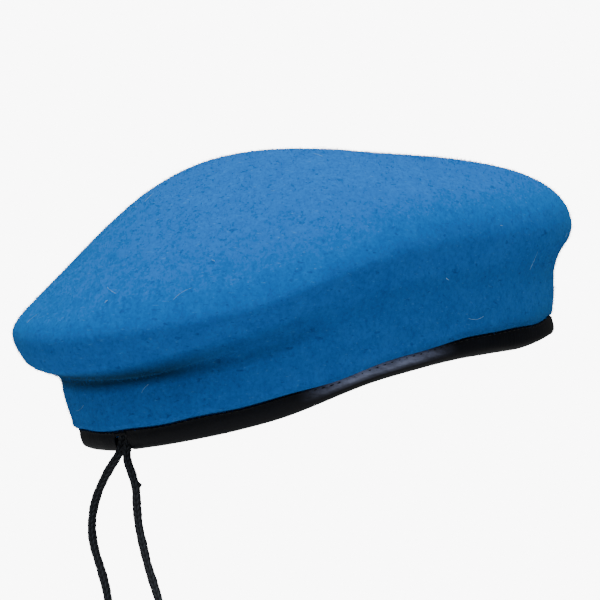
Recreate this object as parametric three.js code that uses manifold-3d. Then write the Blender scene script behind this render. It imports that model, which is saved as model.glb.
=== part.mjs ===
// A felted-wool beret in its worn pose, as an assembly of separate closed solids.
// Millimetres, +X to the wearer's front, +Y to the wearer's left, +Z up.
// The origin is the centre of the head opening, level with the lower edge of the binding.

import * as THREE from 'three';
import { mergeVertices } from 'three/addons/utils/BufferGeometryUtils.js';
import Module from 'manifold-3d';

const wasm = await Module();
wasm.setup();

// ---------------------------------------------------------------- driving dimensions

const WEAR_PITCH = THREE.MathUtils.degToRad(17); // the nape sits lower than the brow

const HEAD_LENGTH = 203.4; // opening, front to back, inside the leather
const HEAD_WIDTH = 161.4; // opening, side to side, inside the leather

const WOOL = 2.6; // felt thickness
const LEATHER = 1.0; // binding leather thickness
const CLEARANCE = 0.25; // air kept round the cord inside the fold

const CORD_DIAMETER = 3.5;
const CORD_SPACING = 3.9; // between the two tails at the slot
const SLOT_SIDE = -2; // the worn hat has the slot a little to the wearer's right of the nape

const BINDING_HEIGHT = 8.4; // outer leaf of the binding
const INNER_LEAF_HEIGHT = 13.6; // the leaf against the head
const SLOT_HALF_WIDTH = 4.1;
const SLOT_HEIGHT = 6.6;
const THREAD_HEIGHT = 7.7; // lower side of the stitch lines
const NOTCH_HEIGHT = 8.3; // relief in the wool's raw edge behind the slot

const STIFFENER_INSET = 2.9; // depths below the wool's outer face
const STIFFENER = 0.8;
const LINING_INSET = 4.0;
const LINING = 0.7;
const TRIM_INSET = 5.0; // label and seam thread, on the lining's inner face

const ROOT_THICKNESS = 1.1; // flattened cord root that follows a pulled tail
const ROOT_WIDTH = 3.4;
const ROOT_HEIGHT = 4.6; // above the notch
const ROOT_BOTTOM = 8;
const ROOT_OUTER = -1.5; // offset of its outer side

// The binding's lower edge above its lowest plane, read at sixteen places round the head: the
// front, then evenly towards the left.
const EDGE_UP = [0, 0.3, 1, 2.3, 3, 2.6, 1.5, 1.6, -0.3, -0.7, 0.1, 5, 5, 1.6, 1.7, -0.6];

// How far the band stands out from its oval, read at eight places in the same order.
const EDGE_OUT = [0, 0, 0, 0, 0, 0, 0, 1.8];

// The drooping crown, read at the same eight places. "Out" is measured from the wool's
// face at the band, "up" from the binding's lower edge.
const CROWN = {
  hemOut: [5.5, 4, 3, 3.4, 4.4, 4, 5, 3.9],
  neckOut: [9.5, 5, 4, 5.2, 5, 5.4, 7.5, 6.5],
  neckUp: [26, 26, 26, 29.5, 28.5, 27, 27, 26],
  underOut: [12, 8, 7, 8.5, 13, 9, 9.5, 10.5],
  underUp: [33, 33, 33, 37.5, 32.5, 32, 34, 33],
  bellyOut: [17, 11, 9.5, 14.5, 19, 13.5, 11.5, 16],
  bellyUp: [39, 39, 40, 44, 38, 37.5, 40, 39],
  rimOut: [19, 13.5, 11, 14.5, 21.5, 17.5, 13.5, 18],
  rimUp: [46, 48, 50, 56, 50, 45, 48, 46],
  lowSlack: [0, 1, 0, 10.8, 10.3, 5, 1, 0.5],
  highSlack: [5.5, 2, 0, 0, 0, 0, 1, 6.5],
};
const APEX = new THREE.Vector3(-20, 0, 103.5);
const WALL_TOP = 9; // the wool stands straight up to here
const HEM_UP = 14.5;

const ANGLES_ROUND = 48;
const WALL_STEPS = 12;
const DOME_STEPS = 9;
const REAR = Math.PI;
const SLACK_PEAK = 0.77; // largest value of sin(2 lift) cos(lift)

// Each tail from inside the slot to its knot, in the worn pose.
const LEFT_TAIL = [
  [-102.1, -0.1, -23.7], [-101.8, -0.1, -25.6], [-102.1, -0.1, -28.3], [-102.9, 0.1, -31.1],
  [-103.5, 1.8, -33.9], [-103.7, 5.2, -37.1], [-103.8, 9.1, -41.2], [-103.8, 13.4, -46.8],
  [-104.0, 16.1, -53.5], [-104.1, 16.7, -61.0], [-104.1, 14.7, -68.5], [-103.7, 11.1, -76.5],
  [-103.1, 8.2, -84.5], [-102.6, 6.6, -93.0], [-102.3, 5.8, -101.5], [-102.2, 5.5, -110.0],
  [-102.2, 5.5, -118.5],
];
const RIGHT_TAIL = [
  [-101.8, -4.0, -23.8], [-101.5, -4.0, -25.7], [-102.0, -4.0, -28.3], [-102.8, -4.1, -31.1],
  [-103.2, -4.6, -33.9], [-103.4, -6.0, -37.1], [-103.4, -8.4, -41.2], [-103.4, -10.8, -46.8],
  [-103.4, -11.6, -53.5], [-103.4, -12.9, -61.0], [-103.4, -15.6, -68.5], [-103.3, -18.7, -76.5],
  [-103.1, -22.6, -84.5], [-102.9, -26.6, -93.0], [-102.7, -29.6, -101.5], [-102.6, -31.0, -110.0],
  [-102.6, -31.4, -118.5],
];
const TAIL_STEPS = 16;
const KNOT_RADIUS = 3.6;
const KNOT_HALF_HEIGHT = 4.2;
const KNOT_GAP = 0.4;

// Worked out from the above: the binding folds round the cord under the wool's raw edge.
const FOLD_CENTRE = -WOOL / 2;
const FOLD_RADIUS = CORD_DIAMETER / 2 + CLEARANCE;
const LOOP_HEIGHT = LEATHER + FOLD_RADIUS;
const RAW_EDGE = LOOP_HEIGHT + FOLD_RADIUS;
const OUTER_FACE = FOLD_CENTRE + FOLD_RADIUS + LEATHER;
const HEAD_FACE = FOLD_CENTRE - FOLD_RADIUS - LEATHER;
const SEMI_LENGTH = HEAD_LENGTH / 2 - HEAD_FACE;
const SEMI_WIDTH = HEAD_WIDTH / 2 - HEAD_FACE;

// ---------------------------------------------------------------- materials

const cloth = (color, roughness) => new THREE.MeshStandardMaterial({ color, roughness, metalness: 0 });
const FELT = cloth(0x2671b5, 0.95);
const BLACK_LEATHER = cloth(0x0b1016, 0.5);
const BLACK_BRAID = cloth(0x14161b, 0.8);
const BLACK_THREAD = cloth(0x101318, 0.7);
const LINING_SATIN = cloth(0x15181d, 0.45);
const BOARD = cloth(0x2c2d2f, 0.85);
const LABEL_TAPE = cloth(0xd9d8d2, 0.75);

// ---------------------------------------------------------------- shape of the crown

/** Smooth closed reading of evenly spaced values at an angle round the head. */
function around(values, angle) {
  const count = values.length;
  const place = THREE.MathUtils.euclideanModulo(angle / (2 * Math.PI), 1) * count;
  const index = Math.floor(place);
  const f = place - index;
  const [a, b, c, d] = [-1, 0, 1, 2].map((k) => values[(index + k + count) % count]);
  const [square, cube] = [2 * a - 5 * b + 4 * c - d, 3 * b - a - 3 * c + d];
  return 0.5 * (2 * b + (c - a) * f + square * f ** 2 + cube * f ** 3);
}

/** Point beside the band: outwards along the level normal and up from the binding's edge. */
function bandPoint(angle, out, up) {
  const [cos, sin] = [Math.cos(angle), Math.sin(angle)];
  const normal = new THREE.Vector2(SEMI_WIDTH * cos, SEMI_LENGTH * sin).normalize();
  const away = out + around(EDGE_OUT, angle);
  return new THREE.Vector3(
    SEMI_LENGTH * cos + away * normal.x,
    SEMI_WIDTH * sin + away * normal.y,
    around(EDGE_UP, angle) + up,
  );
}

/** Point on the top, from the rim (lift 0) to the apex (lift a quarter turn). */
function domePoint(angle, lift) {
  const rim = bandPoint(angle, around(CROWN.rimOut, angle), around(CROWN.rimUp, angle));
  const point = new THREE.Vector3(
    APEX.x + (rim.x - APEX.x) * Math.cos(lift),
    APEX.y + (rim.y - APEX.y) * Math.cos(lift),
    rim.z + (APEX.z - rim.z) * Math.sin(lift),
  );
  const low = around(CROWN.lowSlack, angle) * Math.cos(lift);
  const high = around(CROWN.highSlack, angle) * Math.sin(lift);
  const slack = ((low + high) * Math.sin(2 * lift)) / SLACK_PEAK;
  const outwards = bandPoint(angle, 1, 0).sub(bandPoint(angle, 0, 0));
  point.addScaledVector(outwards, -0.6 * slack);
  point.z -= 0.8 * slack;
  return point;
}

/** Point on the wall, from the raw edge (share 0) over hem, neck and belly to the rim (share 1). */
function wallPoint(angle, share) {
  const route = [
    [0, RAW_EDGE],
    [0, WALL_TOP],
    [around(CROWN.hemOut, angle), HEM_UP],
    [around(CROWN.neckOut, angle), around(CROWN.neckUp, angle)],
    [around(CROWN.underOut, angle), around(CROWN.underUp, angle)],
    [around(CROWN.bellyOut, angle), around(CROWN.bellyUp, angle)],
    [around(CROWN.rimOut, angle), around(CROWN.rimUp, angle)],
  ].map(([out, up]) => bandPoint(angle, out, up));
  const stretches = route.length - 1;
  const [belly, rim] = route.slice(-2);
  const rising = domePoint(angle, 0.02).sub(rim).setLength(2.2 * belly.distanceTo(rim));
  route.push(belly.clone().add(rising));
  const curve = new THREE.CatmullRomCurve3(route, false, 'catmullrom', 0.5);
  return curve.getPoint((share * stretches) / (stretches + 1));
}

/** Outer face of the wool: row 0 to 1 is the wall, row 1 to 2 the top. */
function facePoint(angle, row) {
  return row <= 1 ? wallPoint(angle, row) : domePoint(angle, ((row - 1) * Math.PI) / 2);
}

/** Point at a depth under the wool's outer face. */
function crownPoint(angle, row, inset) {
  const point = facePoint(angle, row);
  if (row >= 2) return point.add(new THREE.Vector3(0, 0, -inset));
  const step = 0.01;
  const along = facePoint(angle + step, row).sub(facePoint(angle - step, row));
  const above = facePoint(angle, Math.min(row + step, 2));
  const rising = above.sub(facePoint(angle, Math.max(row - step, 0)));
  return point.addScaledVector(along.cross(rising).normalize(), -inset);
}

const ANGLES = Array.from({ length: ANGLES_ROUND }, (_, i) => (i * 2 * Math.PI) / ANGLES_ROUND);
const WALL_ROWS = Array.from({ length: WALL_STEPS + 1 }, (_, i) => i / WALL_STEPS);
const DOME_ROWS = Array.from({ length: DOME_STEPS }, (_, i) => 1 + (i + 1) / DOME_STEPS);

const LINING_SIDE_ROWS = WALL_ROWS.slice(4);
const LABEL_ANGLES = ANGLES.slice(ANGLES_ROUND / 2 - 1, ANGLES_ROUND / 2 + 2);
const LABEL_ROWS = WALL_ROWS.slice(5, 8);
const STIFFENER_ANGLES = ANGLES.slice(3, 9);
const STIFFENER_ROWS = [...WALL_ROWS.slice(5), ...DOME_ROWS.slice(0, 2)];

// ---------------------------------------------------------------- solids from rows of points

/** Closed geometry from points and quads or triangles, turned so that its faces point outwards. */
function solid(points, faces) {
  const corners = faces.flatMap(([a, b, c, d]) => (d === undefined ? [a, b, c] : [a, b, c, a, c, d]));
  let volume = 0;
  for (let i = 0; i < corners.length; i += 3) {
    const [a, b, c] = corners.slice(i, i + 3).map((k) => points[k]);
    volume += a.dot(new THREE.Vector3().crossVectors(b, c));
  }
  if (volume < 0) corners.reverse();
  const geometry = new THREE.BufferGeometry().setFromPoints(points);
  geometry.setIndex(corners);
  geometry.computeVertexNormals();
  return geometry;
}

/** Ring all the way round the head whose section at each angle is a closed loop of points. */
function ringSolid(sectionAt) {
  const sections = ANGLES.map(sectionAt);
  const size = sections[0].length;
  const faces = [];
  for (let i = 0; i < ANGLES_ROUND; i += 1) {
    for (let k = 0; k < size; k += 1) {
      const next = (i + 1) % ANGLES_ROUND;
      const over = (k + 1) % size;
      faces.push([i * size + k, next * size + k, next * size + over, i * size + over]);
    }
  }
  return solid(sections.flat(), faces);
}

/** Ring with a section given as [out, up] beside the band. */
function bandRing(section) {
  return ringSolid((angle) => section.map(([out, up]) => bandPoint(angle, out, up)));
}

/** Band of cloth between two depths, following the crown through the given rows. */
function layerRing(rows, outer, inner) {
  return ringSolid((angle) => [
    ...rows.map((row) => crownPoint(angle, row, outer)),
    ...rows.toReversed().map((row) => crownPoint(angle, row, inner)),
  ]);
}

/** Cap of cloth between two depths, from its lowest row up to the apex. */
function layerCap(rows, outer, inner) {
  const levels = rows.filter((row) => row < 2);
  const size = 2 * levels.length;
  const points = ANGLES.flatMap((angle) => [
    ...levels.map((row) => crownPoint(angle, row, outer)),
    ...levels.toReversed().map((row) => crownPoint(angle, row, inner)),
  ]);
  const outerApex = points.length;
  points.push(crownPoint(0, 2, outer), crownPoint(0, 2, inner));
  const faces = [];
  for (let i = 0; i < ANGLES_ROUND; i += 1) {
    const here = i * size;
    const next = ((i + 1) % ANGLES_ROUND) * size;
    for (let k = 0; k < size; k += 1) {
      if (k === levels.length - 1) continue;
      const over = (k + 1) % size;
      faces.push([here + k, next + k, next + over, here + over]);
    }
    faces.push([here + levels.length - 1, next + levels.length - 1, outerApex]);
    faces.push([here + levels.length, outerApex + 1, next + levels.length]);
  }
  return solid(points, faces);
}

/** Piece of sheet between two depths over a span of angles and rows. */
function layerPatch(angles, rows, outer, inner) {
  const across = rows.length;
  const layer = angles.length * across;
  const at = (depth, i, k) => depth * layer + i * across + k;
  const points = [outer, inner].flatMap((inset) =>
    angles.flatMap((angle) => rows.map((row) => crownPoint(angle, row, inset))));
  const faces = [];
  for (let i = 0; i < angles.length - 1; i += 1) {
    for (let k = 0; k < across - 1; k += 1) {
      faces.push([at(0, i, k), at(0, i + 1, k), at(0, i + 1, k + 1), at(0, i, k + 1)]);
      faces.push([at(1, i, k), at(1, i, k + 1), at(1, i + 1, k + 1), at(1, i + 1, k)]);
    }
  }
  for (let i = 0; i < angles.length - 1; i += 1) {
    faces.push([at(0, i, 0), at(1, i, 0), at(1, i + 1, 0), at(0, i + 1, 0)]);
    const top = across - 1;
    faces.push([at(0, i, top), at(0, i + 1, top), at(1, i + 1, top), at(1, i, top)]);
  }
  for (let k = 0; k < across - 1; k += 1) {
    const last = angles.length - 1;
    faces.push([at(0, 0, k), at(0, 0, k + 1), at(1, 0, k + 1), at(1, 0, k)]);
    faces.push([at(0, last, k), at(1, last, k), at(1, last, k + 1), at(0, last, k + 1)]);
  }
  return solid(points, faces);
}

/** Round bar along a path of points. */
function tube(points, diameter, steps, sides = 8) {
  const section = new THREE.Shape(Array.from({ length: sides }, (_, i) => {
    const angle = (i * 2 * Math.PI) / sides;
    return new THREE.Vector2(Math.cos(angle), Math.sin(angle)).multiplyScalar(diameter / 2);
  }));
  return new THREE.ExtrudeGeometry(section, { steps, extrudePath: new THREE.CatmullRomCurve3(points) });
}

/** Block at the slot, square to the band, between two offsets and two heights. */
function rearBlock(outFrom, outTo, halfWidth, upFrom, upTo, side = 0) {
  const block = new THREE.BoxGeometry(outTo - outFrom, 2 * halfWidth, upTo - upFrom);
  const middle = bandPoint(REAR, (outFrom + outTo) / 2, (upFrom + upTo) / 2);
  return block.translate(middle.x, SLOT_SIDE + side, middle.z);
}

/** Geometry as a manifold solid, for booleans. */
function toManifold(geometry) {
  const bare = geometry.clone();
  bare.deleteAttribute('normal');
  bare.deleteAttribute('uv');
  const merged = mergeVertices(bare, 1e-4);
  return new wasm.Manifold(new wasm.Mesh({
    numProp: 3,
    vertProperties: new Float32Array(merged.attributes.position.array),
    triVerts: new Uint32Array(merged.index.array),
  }));
}

/** Geometry with other solids cut away. */
function cut(geometry, ...tools) {
  let result = toManifold(geometry);
  for (const tool of tools) result = result.subtract(toManifold(tool));
  const mesh = result.getMesh();
  const shape = new THREE.BufferGeometry();
  shape.setAttribute('position', new THREE.BufferAttribute(new Float32Array(mesh.vertProperties), 3));
  shape.setIndex(Array.from(mesh.triVerts));
  shape.computeVertexNormals();
  return shape;
}

// ---------------------------------------------------------------- the pieces

/** One-piece milled wool crown, open below, with a relief for the cord at the nape. */
function crownShell() {
  const felt = layerCap([...WALL_ROWS, ...DOME_ROWS], 0, WOOL);
  const notch = rearBlock(-2 * WOOL, WOOL, SLOT_HALF_WIDTH, 0, NOTCH_HEIGHT);
  const grooveTop = NOTCH_HEIGHT + ROOT_HEIGHT + 1.5;
  const groove = rearBlock(-2 * WOOL, -1.1, SLOT_HALF_WIDTH, NOTCH_HEIGHT - 1, grooveTop);
  return cut(felt, notch, groove);
}

/** Leather strip folded round the raw edge, with the open slot for the drawcord at the nape. */
function binding() {
  const arc = (radius, from, to) => Array.from({ length: 5 }, (_, i) => {
    const angle = from + ((to - from) * i) / 4;
    return [FOLD_CENTRE + radius * Math.cos(angle), LOOP_HEIGHT + radius * Math.sin(angle)];
  });
  const strip = bandRing([
    [OUTER_FACE, BINDING_HEIGHT],
    ...arc(FOLD_RADIUS + LEATHER, 0, -Math.PI),
    [HEAD_FACE, INNER_LEAF_HEIGHT],
    [HEAD_FACE + LEATHER, INNER_LEAF_HEIGHT],
    ...arc(FOLD_RADIUS, -Math.PI, 0),
    [OUTER_FACE - LEATHER, BINDING_HEIGHT],
  ]);
  const slot = rearBlock(HEAD_FACE + LEATHER + 0.1, 2 * OUTER_FACE, SLOT_HALF_WIDTH, -1, SLOT_HEIGHT);
  return cut(strip, slot);
}

/** Run of thread round the band, lying against a leather face. */
function bandThread(face, outwards, height) {
  const near = face + 0.1 * outwards;
  const far = near + 0.5 * outwards;
  return bandRing([[near, height], [far, height], [far, height + 0.5], [near, height + 0.5]]);
}

/** Thread that joins the lining's top to its side. */
function liningSeam() {
  const rows = [1.05, 1.06];
  return layerRing(rows, TRIM_INSET, TRIM_INSET + 0.6);
}

/** The part of the drawcord that stays in the fold of the binding. */
function drawcordLoop() {
  const gap = 0.075; // half of what the slot leaves open, as an angle
  const start = REAR - Math.asin(SLOT_SIDE / SEMI_WIDTH) + gap;
  const stops = 64;
  const path = Array.from({ length: stops + 1 }, (_, i) =>
    bandPoint(start + ((2 * Math.PI - 2 * gap) * i) / stops, FOLD_CENTRE, LOOP_HEIGHT));
  return tube(path, CORD_DIAMETER, 64);
}

/** Close stitching across the binding above the slot. */
function barTack() {
  return rearBlock(OUTER_FACE + 0.1, OUTER_FACE + 0.7, 3.6, SLOT_HEIGHT + 0.15, SLOT_HEIGHT + 1);
}

/** Flattened upper end of a tail, between the wool and the inner leaf. */
function tailRoot(side) {
  return rearBlock(ROOT_OUTER - ROOT_THICKNESS, ROOT_OUTER, ROOT_WIDTH / 2, ROOT_BOTTOM,
    NOTCH_HEIGHT + ROOT_HEIGHT, (side * CORD_SPACING) / 2);
}

/** Free end of the drawcord. */
const tail = (route) => tube(route.map((p) => new THREE.Vector3(...p)), CORD_DIAMETER, TAIL_STEPS);

/** Overhand knot under the end of a tail. */
function knot(route) {
  const [x, y, z] = route.at(-1);
  const ball = new THREE.SphereGeometry(1, 12, 8).rotateX(Math.PI / 2);
  ball.scale(KNOT_RADIUS, KNOT_RADIUS, KNOT_HALF_HEIGHT);
  return ball.translate(x, y, z - KNOT_HALF_HEIGHT - KNOT_GAP);
}

/** Thread along three sides of the size label. */
function labelStitches() {
  const inset = TRIM_INSET + 1.0;
  const corner = (angle, row) => crownPoint(angle, row, inset);
  const [left, middle, right] = LABEL_ANGLES;
  const [low, half, high] = LABEL_ROWS;
  const path = [
    corner(left, high), corner(left, half), corner(left, low), corner(middle, low),
    corner(right, low), corner(right, half), corner(right, high),
  ];
  return tube(path, 0.5, 18, 6);
}

// ---------------------------------------------------------------- assembly

const beret = new THREE.Group();
const band = new THREE.Group(); // square to the band, tipped to the worn pose
band.rotation.y = -WEAR_PITCH;
beret.add(band);

function add(parent, name, geometry, material) {
  const mesh = new THREE.Mesh(geometry, material);
  mesh.name = name;
  parent.add(mesh);
}

add(band, 'crown_shell', crownShell(), FELT);
add(band, 'binding', binding(), BLACK_LEATHER);
add(band, 'binding_thread_outside', bandThread(OUTER_FACE, 1, THREAD_HEIGHT), BLACK_THREAD);
add(band, 'binding_thread_inside', bandThread(HEAD_FACE, -1, THREAD_HEIGHT), BLACK_THREAD);
add(band, 'bar_tack', barTack(), BLACK_THREAD);
add(band, 'lining_side', layerRing(LINING_SIDE_ROWS, LINING_INSET, LINING_INSET + LINING), LINING_SATIN);
add(band, 'lining_top', layerCap(DOME_ROWS, LINING_INSET, LINING_INSET + LINING), LINING_SATIN);
add(band, 'lining_seam', liningSeam(), BLACK_THREAD);
add(band, 'badge_stiffener',
  layerPatch(STIFFENER_ANGLES, STIFFENER_ROWS, STIFFENER_INSET, STIFFENER_INSET + STIFFENER), BOARD);
add(band, 'size_label', layerPatch(LABEL_ANGLES, LABEL_ROWS, TRIM_INSET, TRIM_INSET + 0.5), LABEL_TAPE);
add(band, 'label_stitches', labelStitches(), BLACK_THREAD);
add(band, 'drawcord_loop', drawcordLoop(), BLACK_BRAID);

for (const [name, side, route] of [['left', 1, LEFT_TAIL], ['right', -1, RIGHT_TAIL]]) {
  add(band, `${name}_tail_root`, tailRoot(side), BLACK_BRAID);
  add(beret, `${name}_tail`, tail(route), BLACK_BRAID);
  add(beret, `${name}_knot`, knot(route), BLACK_BRAID);
}

export default beret;
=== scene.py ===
"""A felted-wool beret with a leather binding, lining and braided drawcord, dressed on its CAD frame."""

import logging
import math
from dataclasses import dataclass, field
from enum import Enum
from typing import ClassVar

import bmesh
import bpy
import numpy as np
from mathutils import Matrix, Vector, noise


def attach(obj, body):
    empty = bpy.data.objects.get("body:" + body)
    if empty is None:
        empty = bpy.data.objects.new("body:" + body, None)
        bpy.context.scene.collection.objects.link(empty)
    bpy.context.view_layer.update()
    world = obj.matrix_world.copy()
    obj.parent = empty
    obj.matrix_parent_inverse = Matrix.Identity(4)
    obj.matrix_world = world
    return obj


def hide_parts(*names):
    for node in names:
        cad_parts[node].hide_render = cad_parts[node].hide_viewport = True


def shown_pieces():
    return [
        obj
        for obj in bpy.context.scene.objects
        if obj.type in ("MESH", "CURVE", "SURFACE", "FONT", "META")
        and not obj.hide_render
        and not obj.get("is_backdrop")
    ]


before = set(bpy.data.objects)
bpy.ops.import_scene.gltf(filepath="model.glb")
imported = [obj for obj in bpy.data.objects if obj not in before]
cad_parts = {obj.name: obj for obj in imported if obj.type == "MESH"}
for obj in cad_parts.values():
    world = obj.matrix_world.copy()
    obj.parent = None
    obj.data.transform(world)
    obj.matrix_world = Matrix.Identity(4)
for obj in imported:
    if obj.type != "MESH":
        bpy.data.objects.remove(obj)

log = logging.getLogger("beret")

Points = np.ndarray
Triple = tuple[float, float, float]
Route = tuple[Triple, ...]
Faces = list[tuple[int, ...]]

MM = 0.001
REAR = math.pi
WHITE: Triple = (1.0, 1.0, 1.0)
BLACK: Triple = (0.0, 0.0, 0.0)


class Body(Enum):
    """The rigid bodies that pieces ride on."""

    BERET = "beret"
    LEFT_END = "left_cord_end"
    RIGHT_END = "right_cord_end"


class Slot(Enum):
    """Material slots of the record."""

    FELT = "felt"
    LEATHER = "leather"
    LINING = "lining"
    BRAID = "braid"
    THREAD = "thread"
    BOARD = "board"
    LABEL = "label"


# ---------------------------------------------------------------- finishes


class NodeBench:
    """Small helper that adds and joins shader nodes in one material."""

    def __init__(self, name: str) -> None:
        """Start an empty node material.

        Args:
            name: The material's name.
        """
        self.material = bpy.data.materials.new(name)
        self.material.use_nodes = True
        self.tree = self.material.node_tree
        self.tree.nodes.clear()
        self.output = self.node("ShaderNodeOutputMaterial")
        self.shader = self.node("ShaderNodeBsdfPrincipled")
        self.join(self.shader, "BSDF", self.output, "Surface")

    def node(self, kind: str, **settings: object) -> bpy.types.Node:
        """Add a node.

        Args:
            kind: The node's type name.
            **settings: Attributes to set on it.

        Returns:
            The new node.
        """
        made = self.tree.nodes.new(kind)
        for key, value in settings.items():
            setattr(made, key, value)
        return made

    def join(self, start: bpy.types.Node, out: str, end: bpy.types.Node, into: str) -> None:
        """Link one node's output to another node's input."""
        self.tree.links.new(start.outputs[out], end.inputs[into])

    def paint(self, colour: bpy.types.Node) -> None:
        """Give the shader its colour."""
        self.join(colour, "Color", self.shader, "Base Color")

    def emboss(self, bump: bpy.types.Node) -> None:
        """Give the shader its fine relief."""
        self.join(bump, "Normal", self.shader, "Normal")

    def trait(self, name: str) -> bpy.types.Node:
        """Read an attribute that the piece's surface carries."""
        return self.node("ShaderNodeAttribute", attribute_name=name)

    def plain(self, colour: Triple) -> bpy.types.Node:
        """Add one constant colour, to be blended into another.

        Args:
            colour: The colour.

        Returns:
            The colour node.
        """
        constant = self.node("ShaderNodeRGB")
        constant.outputs["Color"].default_value = (*colour, 1.0)
        return constant

    def place(self, scale: Triple = (1, 1, 1)) -> bpy.types.Node:
        """Add the piece's own coordinates through a mapping.

        Args:
            scale: Stretch of the pattern along each axis.

        Returns:
            The mapping node.
        """
        coordinates = self.node("ShaderNodeTexCoord")
        mapping = self.node("ShaderNodeMapping")
        mapping.inputs["Scale"].default_value = scale
        self.join(coordinates, "Object", mapping, "Vector")
        return mapping

    def speckle(self, mapping: bpy.types.Node, scale: float, detail: float, rough: float = 0.6
                ) -> bpy.types.Node:
        """Add a noise texture on a mapping.

        Args:
            mapping: Where the pattern lies.
            scale: Cycles per metre.
            detail: Octaves.
            rough: Weight of the fine octaves.

        Returns:
            The noise node.
        """
        texture = self.node("ShaderNodeTexNoise")
        texture.inputs["Scale"].default_value = scale
        texture.inputs["Detail"].default_value = detail
        texture.inputs["Roughness"].default_value = rough
        self.join(mapping, "Vector", texture, "Vector")
        return texture

    def ramp(self, source: bpy.types.Node, out: str, stops: tuple[tuple[float, Triple], ...]
             ) -> bpy.types.Node:
        """Turn a value into a colour.

        Args:
            source: The node that gives the value.
            out: Its output's name.
            stops: Position and colour of each stop.

        Returns:
            The colour ramp node.
        """
        ramp = self.node("ShaderNodeValToRGB")
        bar = ramp.color_ramp.elements
        while len(bar) < len(stops):
            bar.new(0.5)
        for element, (position, colour) in zip(bar, stops):
            element.position = position
            element.color = (*colour, 1.0)
        self.join(source, out, ramp, "Fac")
        return ramp

    def mix(self, first: bpy.types.Node, second: bpy.types.Node, share: float, kind: str = "MIX"
            ) -> bpy.types.Node:
        """Blend two colour nodes.

        Args:
            first: The lower colour.
            second: The upper colour.
            share: How much of the upper one counts.
            kind: Blend type.

        Returns:
            The mixing node, whose output is Color.
        """
        blend = self.node("ShaderNodeMixRGB", blend_type=kind)
        blend.inputs["Fac"].default_value = share
        self.join(first, "Color", blend, "Color1")
        self.join(second, "Color", blend, "Color2")
        return blend

    def bump(self, height: bpy.types.Node, out: str, strength: float, depth: float,
             under: bpy.types.Node | None = None) -> bpy.types.Node:
        """Raise the surface by a height.

        Args:
            height: The node that gives the height.
            out: Its output's name.
            strength: How far the bump counts.
            depth: Height of a full step, in metres.
            under: A bump that this one lies on.

        Returns:
            The bump node.
        """
        bump = self.node("ShaderNodeBump")
        bump.inputs["Strength"].default_value = strength
        bump.inputs["Distance"].default_value = depth
        self.join(height, out, bump, "Height")
        if under is not None:
            self.join(under, "Normal", bump, "Normal")
        return bump

    def set(self, **values: float | tuple[float, ...]) -> None:
        """Set constant inputs on the shader, with _ for a space in their names."""
        for key, value in values.items():
            self.shader.inputs[key.replace("_", " ")].default_value = value


@dataclass(frozen=True)
class FeltFinish:
    """Milled wool: cloudy dye, a fine grain with small pits, a few pale stray fibres, and painted shade in
    the folds and towards the leather.

    Attributes:
        deep: The darkest dye.
        body: The usual dye.
        pale: The lightest dye.
        stray: Colour of the stray fibres.
        stray_share: How far they cover the dye.
        painted_shade: Colour of the painted shade, which multiplies the dye in the folds, towards the
            leather and along the near side's wall.
        cloud_scale: Cycles of the dye's clouds per metre.
        grain_scale: Cycles of the grain per metre.
        pit_scale: Cycles of the pits per metre.
        fibre_scale: Cycles of the stray fibres per metre.
        coarse_scale: Cycles of the coarse relief per metre.
    """

    deep: Triple = (0.009, 0.122, 0.455)
    body: Triple = (0.012, 0.140, 0.500)
    pale: Triple = (0.017, 0.156, 0.535)
    stray: Triple = (0.16, 0.40, 0.72)
    stray_share: float = 0.22
    painted_shade: Triple = (0.10, 0.17, 0.15)
    cloud_scale: float = 140.0
    grain_scale: float = 700.0
    pit_scale: float = 430.0
    fibre_scale: float = 620.0
    coarse_scale: float = 260.0

    def material(self) -> bpy.types.Material:
        """Build the felt."""
        bench = NodeBench("wool_felt")
        flat = bench.place()
        cloud = bench.speckle(flat, self.cloud_scale, 5.0, 0.7)
        dye = bench.ramp(cloud, "Fac", ((0.32, self.deep), (0.52, self.body), (0.74, self.pale)))
        grain = bench.speckle(flat, self.grain_scale, 4.0, 0.65)
        light_and_dark = ((0.34, (0.80, 0.84, 0.86)), (0.50, WHITE), (0.66, (1.15, 1.10, 1.08)))
        shade = bench.ramp(grain, "Fac", light_and_dark)
        cloth = bench.mix(dye, shade, 1.0, "MULTIPLY")
        pits = bench.speckle(bench.place((0.6, 0.6, 1.3)), self.pit_scale, 2.0, 0.5)
        pitted = bench.ramp(pits, "Fac", ((0.29, (0.60, 0.68, 0.74)), (0.34, WHITE)))
        worn = bench.mix(cloth, pitted, 1.0, "MULTIPLY")
        fibres = bench.speckle(bench.place((1.0, 0.35, 2.2)), self.fibre_scale, 2.0, 0.5)
        strand = bench.ramp(fibres, "Fac", ((0.66, BLACK), (0.74, WHITE)))
        final = bench.mix(worn, bench.plain(self.stray), 0.0)
        thin = bench.node("ShaderNodeMath", operation="MULTIPLY")
        thin.inputs[1].default_value = self.stray_share
        bench.join(strand, "Color", thin, "Value")
        bench.join(thin, "Value", final, "Fac")
        # Painted shade: the crown's shade trait darkens the felt's colour in the fold at the back, towards
        # the leather and along the near side's wall.
        shadow = bench.ramp(bench.trait(WoolCrown.PAINTED_SHADE), "Fac", ((0.15, WHITE), (0.95, self.painted_shade)))
        bench.paint(bench.mix(final, shadow, 1.0, "MULTIPLY"))
        coarse = bench.speckle(flat, self.coarse_scale, 4.0, 0.6)
        low = bench.bump(coarse, "Fac", 0.45, 0.0007)
        bench.emboss(bench.bump(grain, "Fac", 0.5, 0.0004, low))
        bench.set(Roughness=0.96, Specular_IOR_Level=0.08, Sheen_Weight=0.12, Sheen_Roughness=0.5,
                  Sheen_Tint=(0.10, 0.60, 1.0, 1.0))
        return bench.material


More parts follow.
